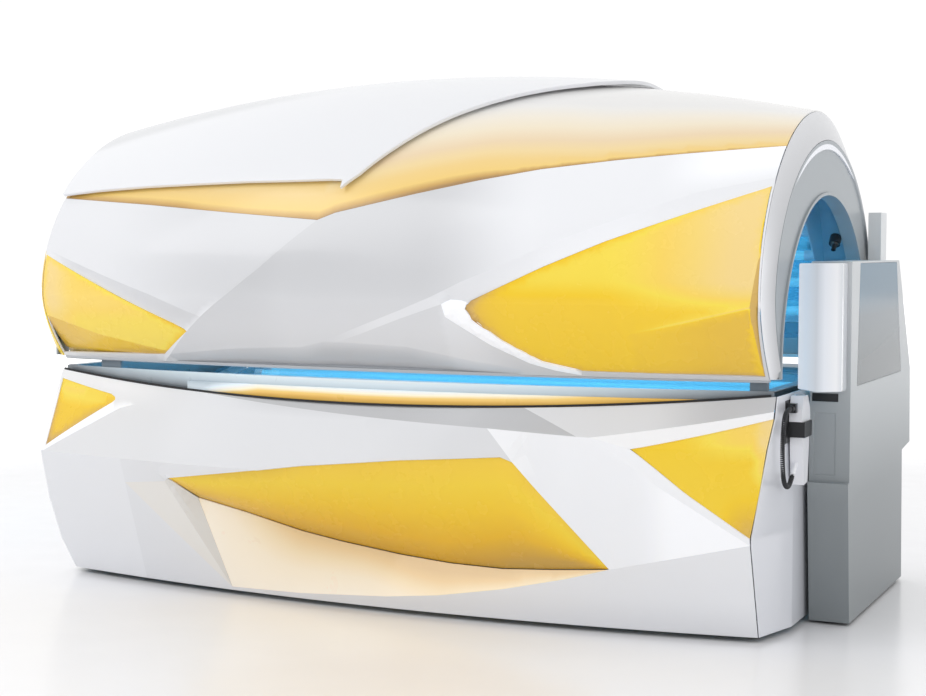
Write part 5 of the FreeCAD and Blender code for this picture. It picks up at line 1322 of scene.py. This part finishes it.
def coil_points(route, radius, turns, per_turn=12):
    """Helix round the route's own spline."""
    guide = spline_curve("guide", route)
    guide.data.splines[0].resolution_u = 24
    bpy.context.scene.collection.objects.link(guide)
    depsgraph = bpy.context.evaluated_depsgraph_get()
    mesh = bpy.data.meshes.new_from_object(guide.evaluated_get(depsgraph))
    line = [v.co.copy() for v in mesh.vertices]
    bpy.data.objects.remove(guide)
    total = turns * per_turn
    points = []
    for i, (k, t) in enumerate(stations(line, total + 1)):
        side = Vector((1, 0, 0))
        up = (line[k + 1] - line[k]).normalized().cross(side).normalized()
        grow = min(1.0, min(i, total - i) / per_turn)
        turn = 2 * math.pi * i / per_turn
        swing = (side * math.cos(turn) + up * math.sin(turn)) * radius * grow
        points.append(line[k].lerp(line[k + 1], t) + swing)
    return points


CORD_PVC = moulded("cord_pvc", (52, 53, 57), (40, 41, 45), 0.5, 0.1, 0.0006)
WIRE, COIL_RADIUS, COIL_TURNS = 0.0038, 0.0065, 60      # metres, to the coil's outside
coil = coil_points(cord_route(), COIL_RADIUS - WIRE / 2, COIL_TURNS)
cord = spline_curve("handset_lead", coil, WIRE / 2)
link_piece(cord, [CORD_PVC], "base", ["handset_cord"])
relief = turned("lead_relief", (CORD_X, CORD_Y + 10.0, CORD_Z), (0, -1, 0),
                [(0, 5.6), (4, 5.4), (12, 4.2), (20, 3.0), (22, 2.4)], RUBBER, "base", 24, 0.3)


# ------------------------------------------------------------ floor, light, camera
FLOOR_REACH = 30.0        # metres from the middle to each side
floor_mesh = bpy.data.meshes.new("floor")
square = [(x * FLOOR_REACH, y * FLOOR_REACH, 0) for x, y in ((-1, -1), (1, -1), (1, 1), (-1, 1))]
floor_mesh.from_pydata(square, [], [(0, 1, 2, 3)])
floor = bpy.data.objects.new("floor", floor_mesh)
bpy.context.scene.collection.objects.link(floor)
ground = Nodes("floor_gloss")
reach = ground.add("ShaderNodeVectorMath", operation="LENGTH")
ground.link(ground.coords, reach.inputs[0])
ground.put(Base_Color=srgb(246, 246, 248), Specular_IOR_Level=0.5,
           Roughness=ground.span(ground.noise(3.0), 0.3, 0.7, 0.18, 0.24), Emission_Color=(1, 1, 1),
           Emission_Strength=ground.span(reach.outputs["Value"], 3.0, 9.0, 0.0, 0.6))
floor.data.materials.append(ground.mat)


def area(name, place, aim, size, power, colour=(1, 1, 1)):
    data = bpy.data.lights.new(name, "AREA")
    data.shape = "RECTANGLE"
    data.size, data.size_y = size
    data.energy = power
    data.color = colour
    obj = bpy.data.objects.new(name, data)
    bpy.context.scene.collection.objects.link(obj)
    obj.location = place
    obj.rotation_euler = (Vector(aim) - Vector(place)).to_track_quat("-Z", "Y").to_euler()


area("key", (-3.0, -3.6, 4.2), (0, 0, 0.8), (3.0, 3.0), 61)
area("fill", (4.2, -4.5, 2.4), (0.6, -0.3, 0.6), (3.5, 2.5), 41)
area("tunnel_glow", (0, 0.04, 1.10), (0, 0.04, 0.5), (1.9, 0.5), 11, (0.42, 0.80, 0.95))
world = bpy.data.worlds.new("studio")
world.use_nodes = True
sky = world.node_tree
place = sky.nodes.new("ShaderNodeTexCoord")
toward = sky.nodes.new("ShaderNodeVectorMath")
toward.operation = "DOT_PRODUCT"
toward.inputs[1].default_value = (-0.35, 0.80, 0.48)
level = sky.nodes.new("ShaderNodeMapRange")
level.interpolation_type = "SMOOTHSTEP"
for key, v in (("From Min", -0.7), ("From Max", 0.55), ("To Min", 0.51), ("To Max", 1.03)):
    level.inputs[key].default_value = v
sky.links.new(place.outputs["Generated"], toward.inputs[0])
sky.links.new(toward.outputs["Value"], level.inputs["Value"])
sky.links.new(level.outputs["Result"], sky.nodes["Background"].inputs["Strength"])
sky.nodes["Background"].inputs["Color"].default_value = (1, 1, 1, 1)
bpy.context.scene.world = world

lens = bpy.data.cameras.new("camera")
lens.lens = 63.76
lens.sensor_width = 36.0
lens.clip_end = 100.0
eye = bpy.data.objects.new("camera", lens)
eye.location = (2.148, -4.4773, 1.0)
eye.rotation_euler = (math.radians(86.58), 0, math.radians(25.8))
bpy.context.scene.collection.objects.link(eye)
bpy.context.scene.camera = eye
bpy.context.scene.view_settings.view_transform = "Standard"
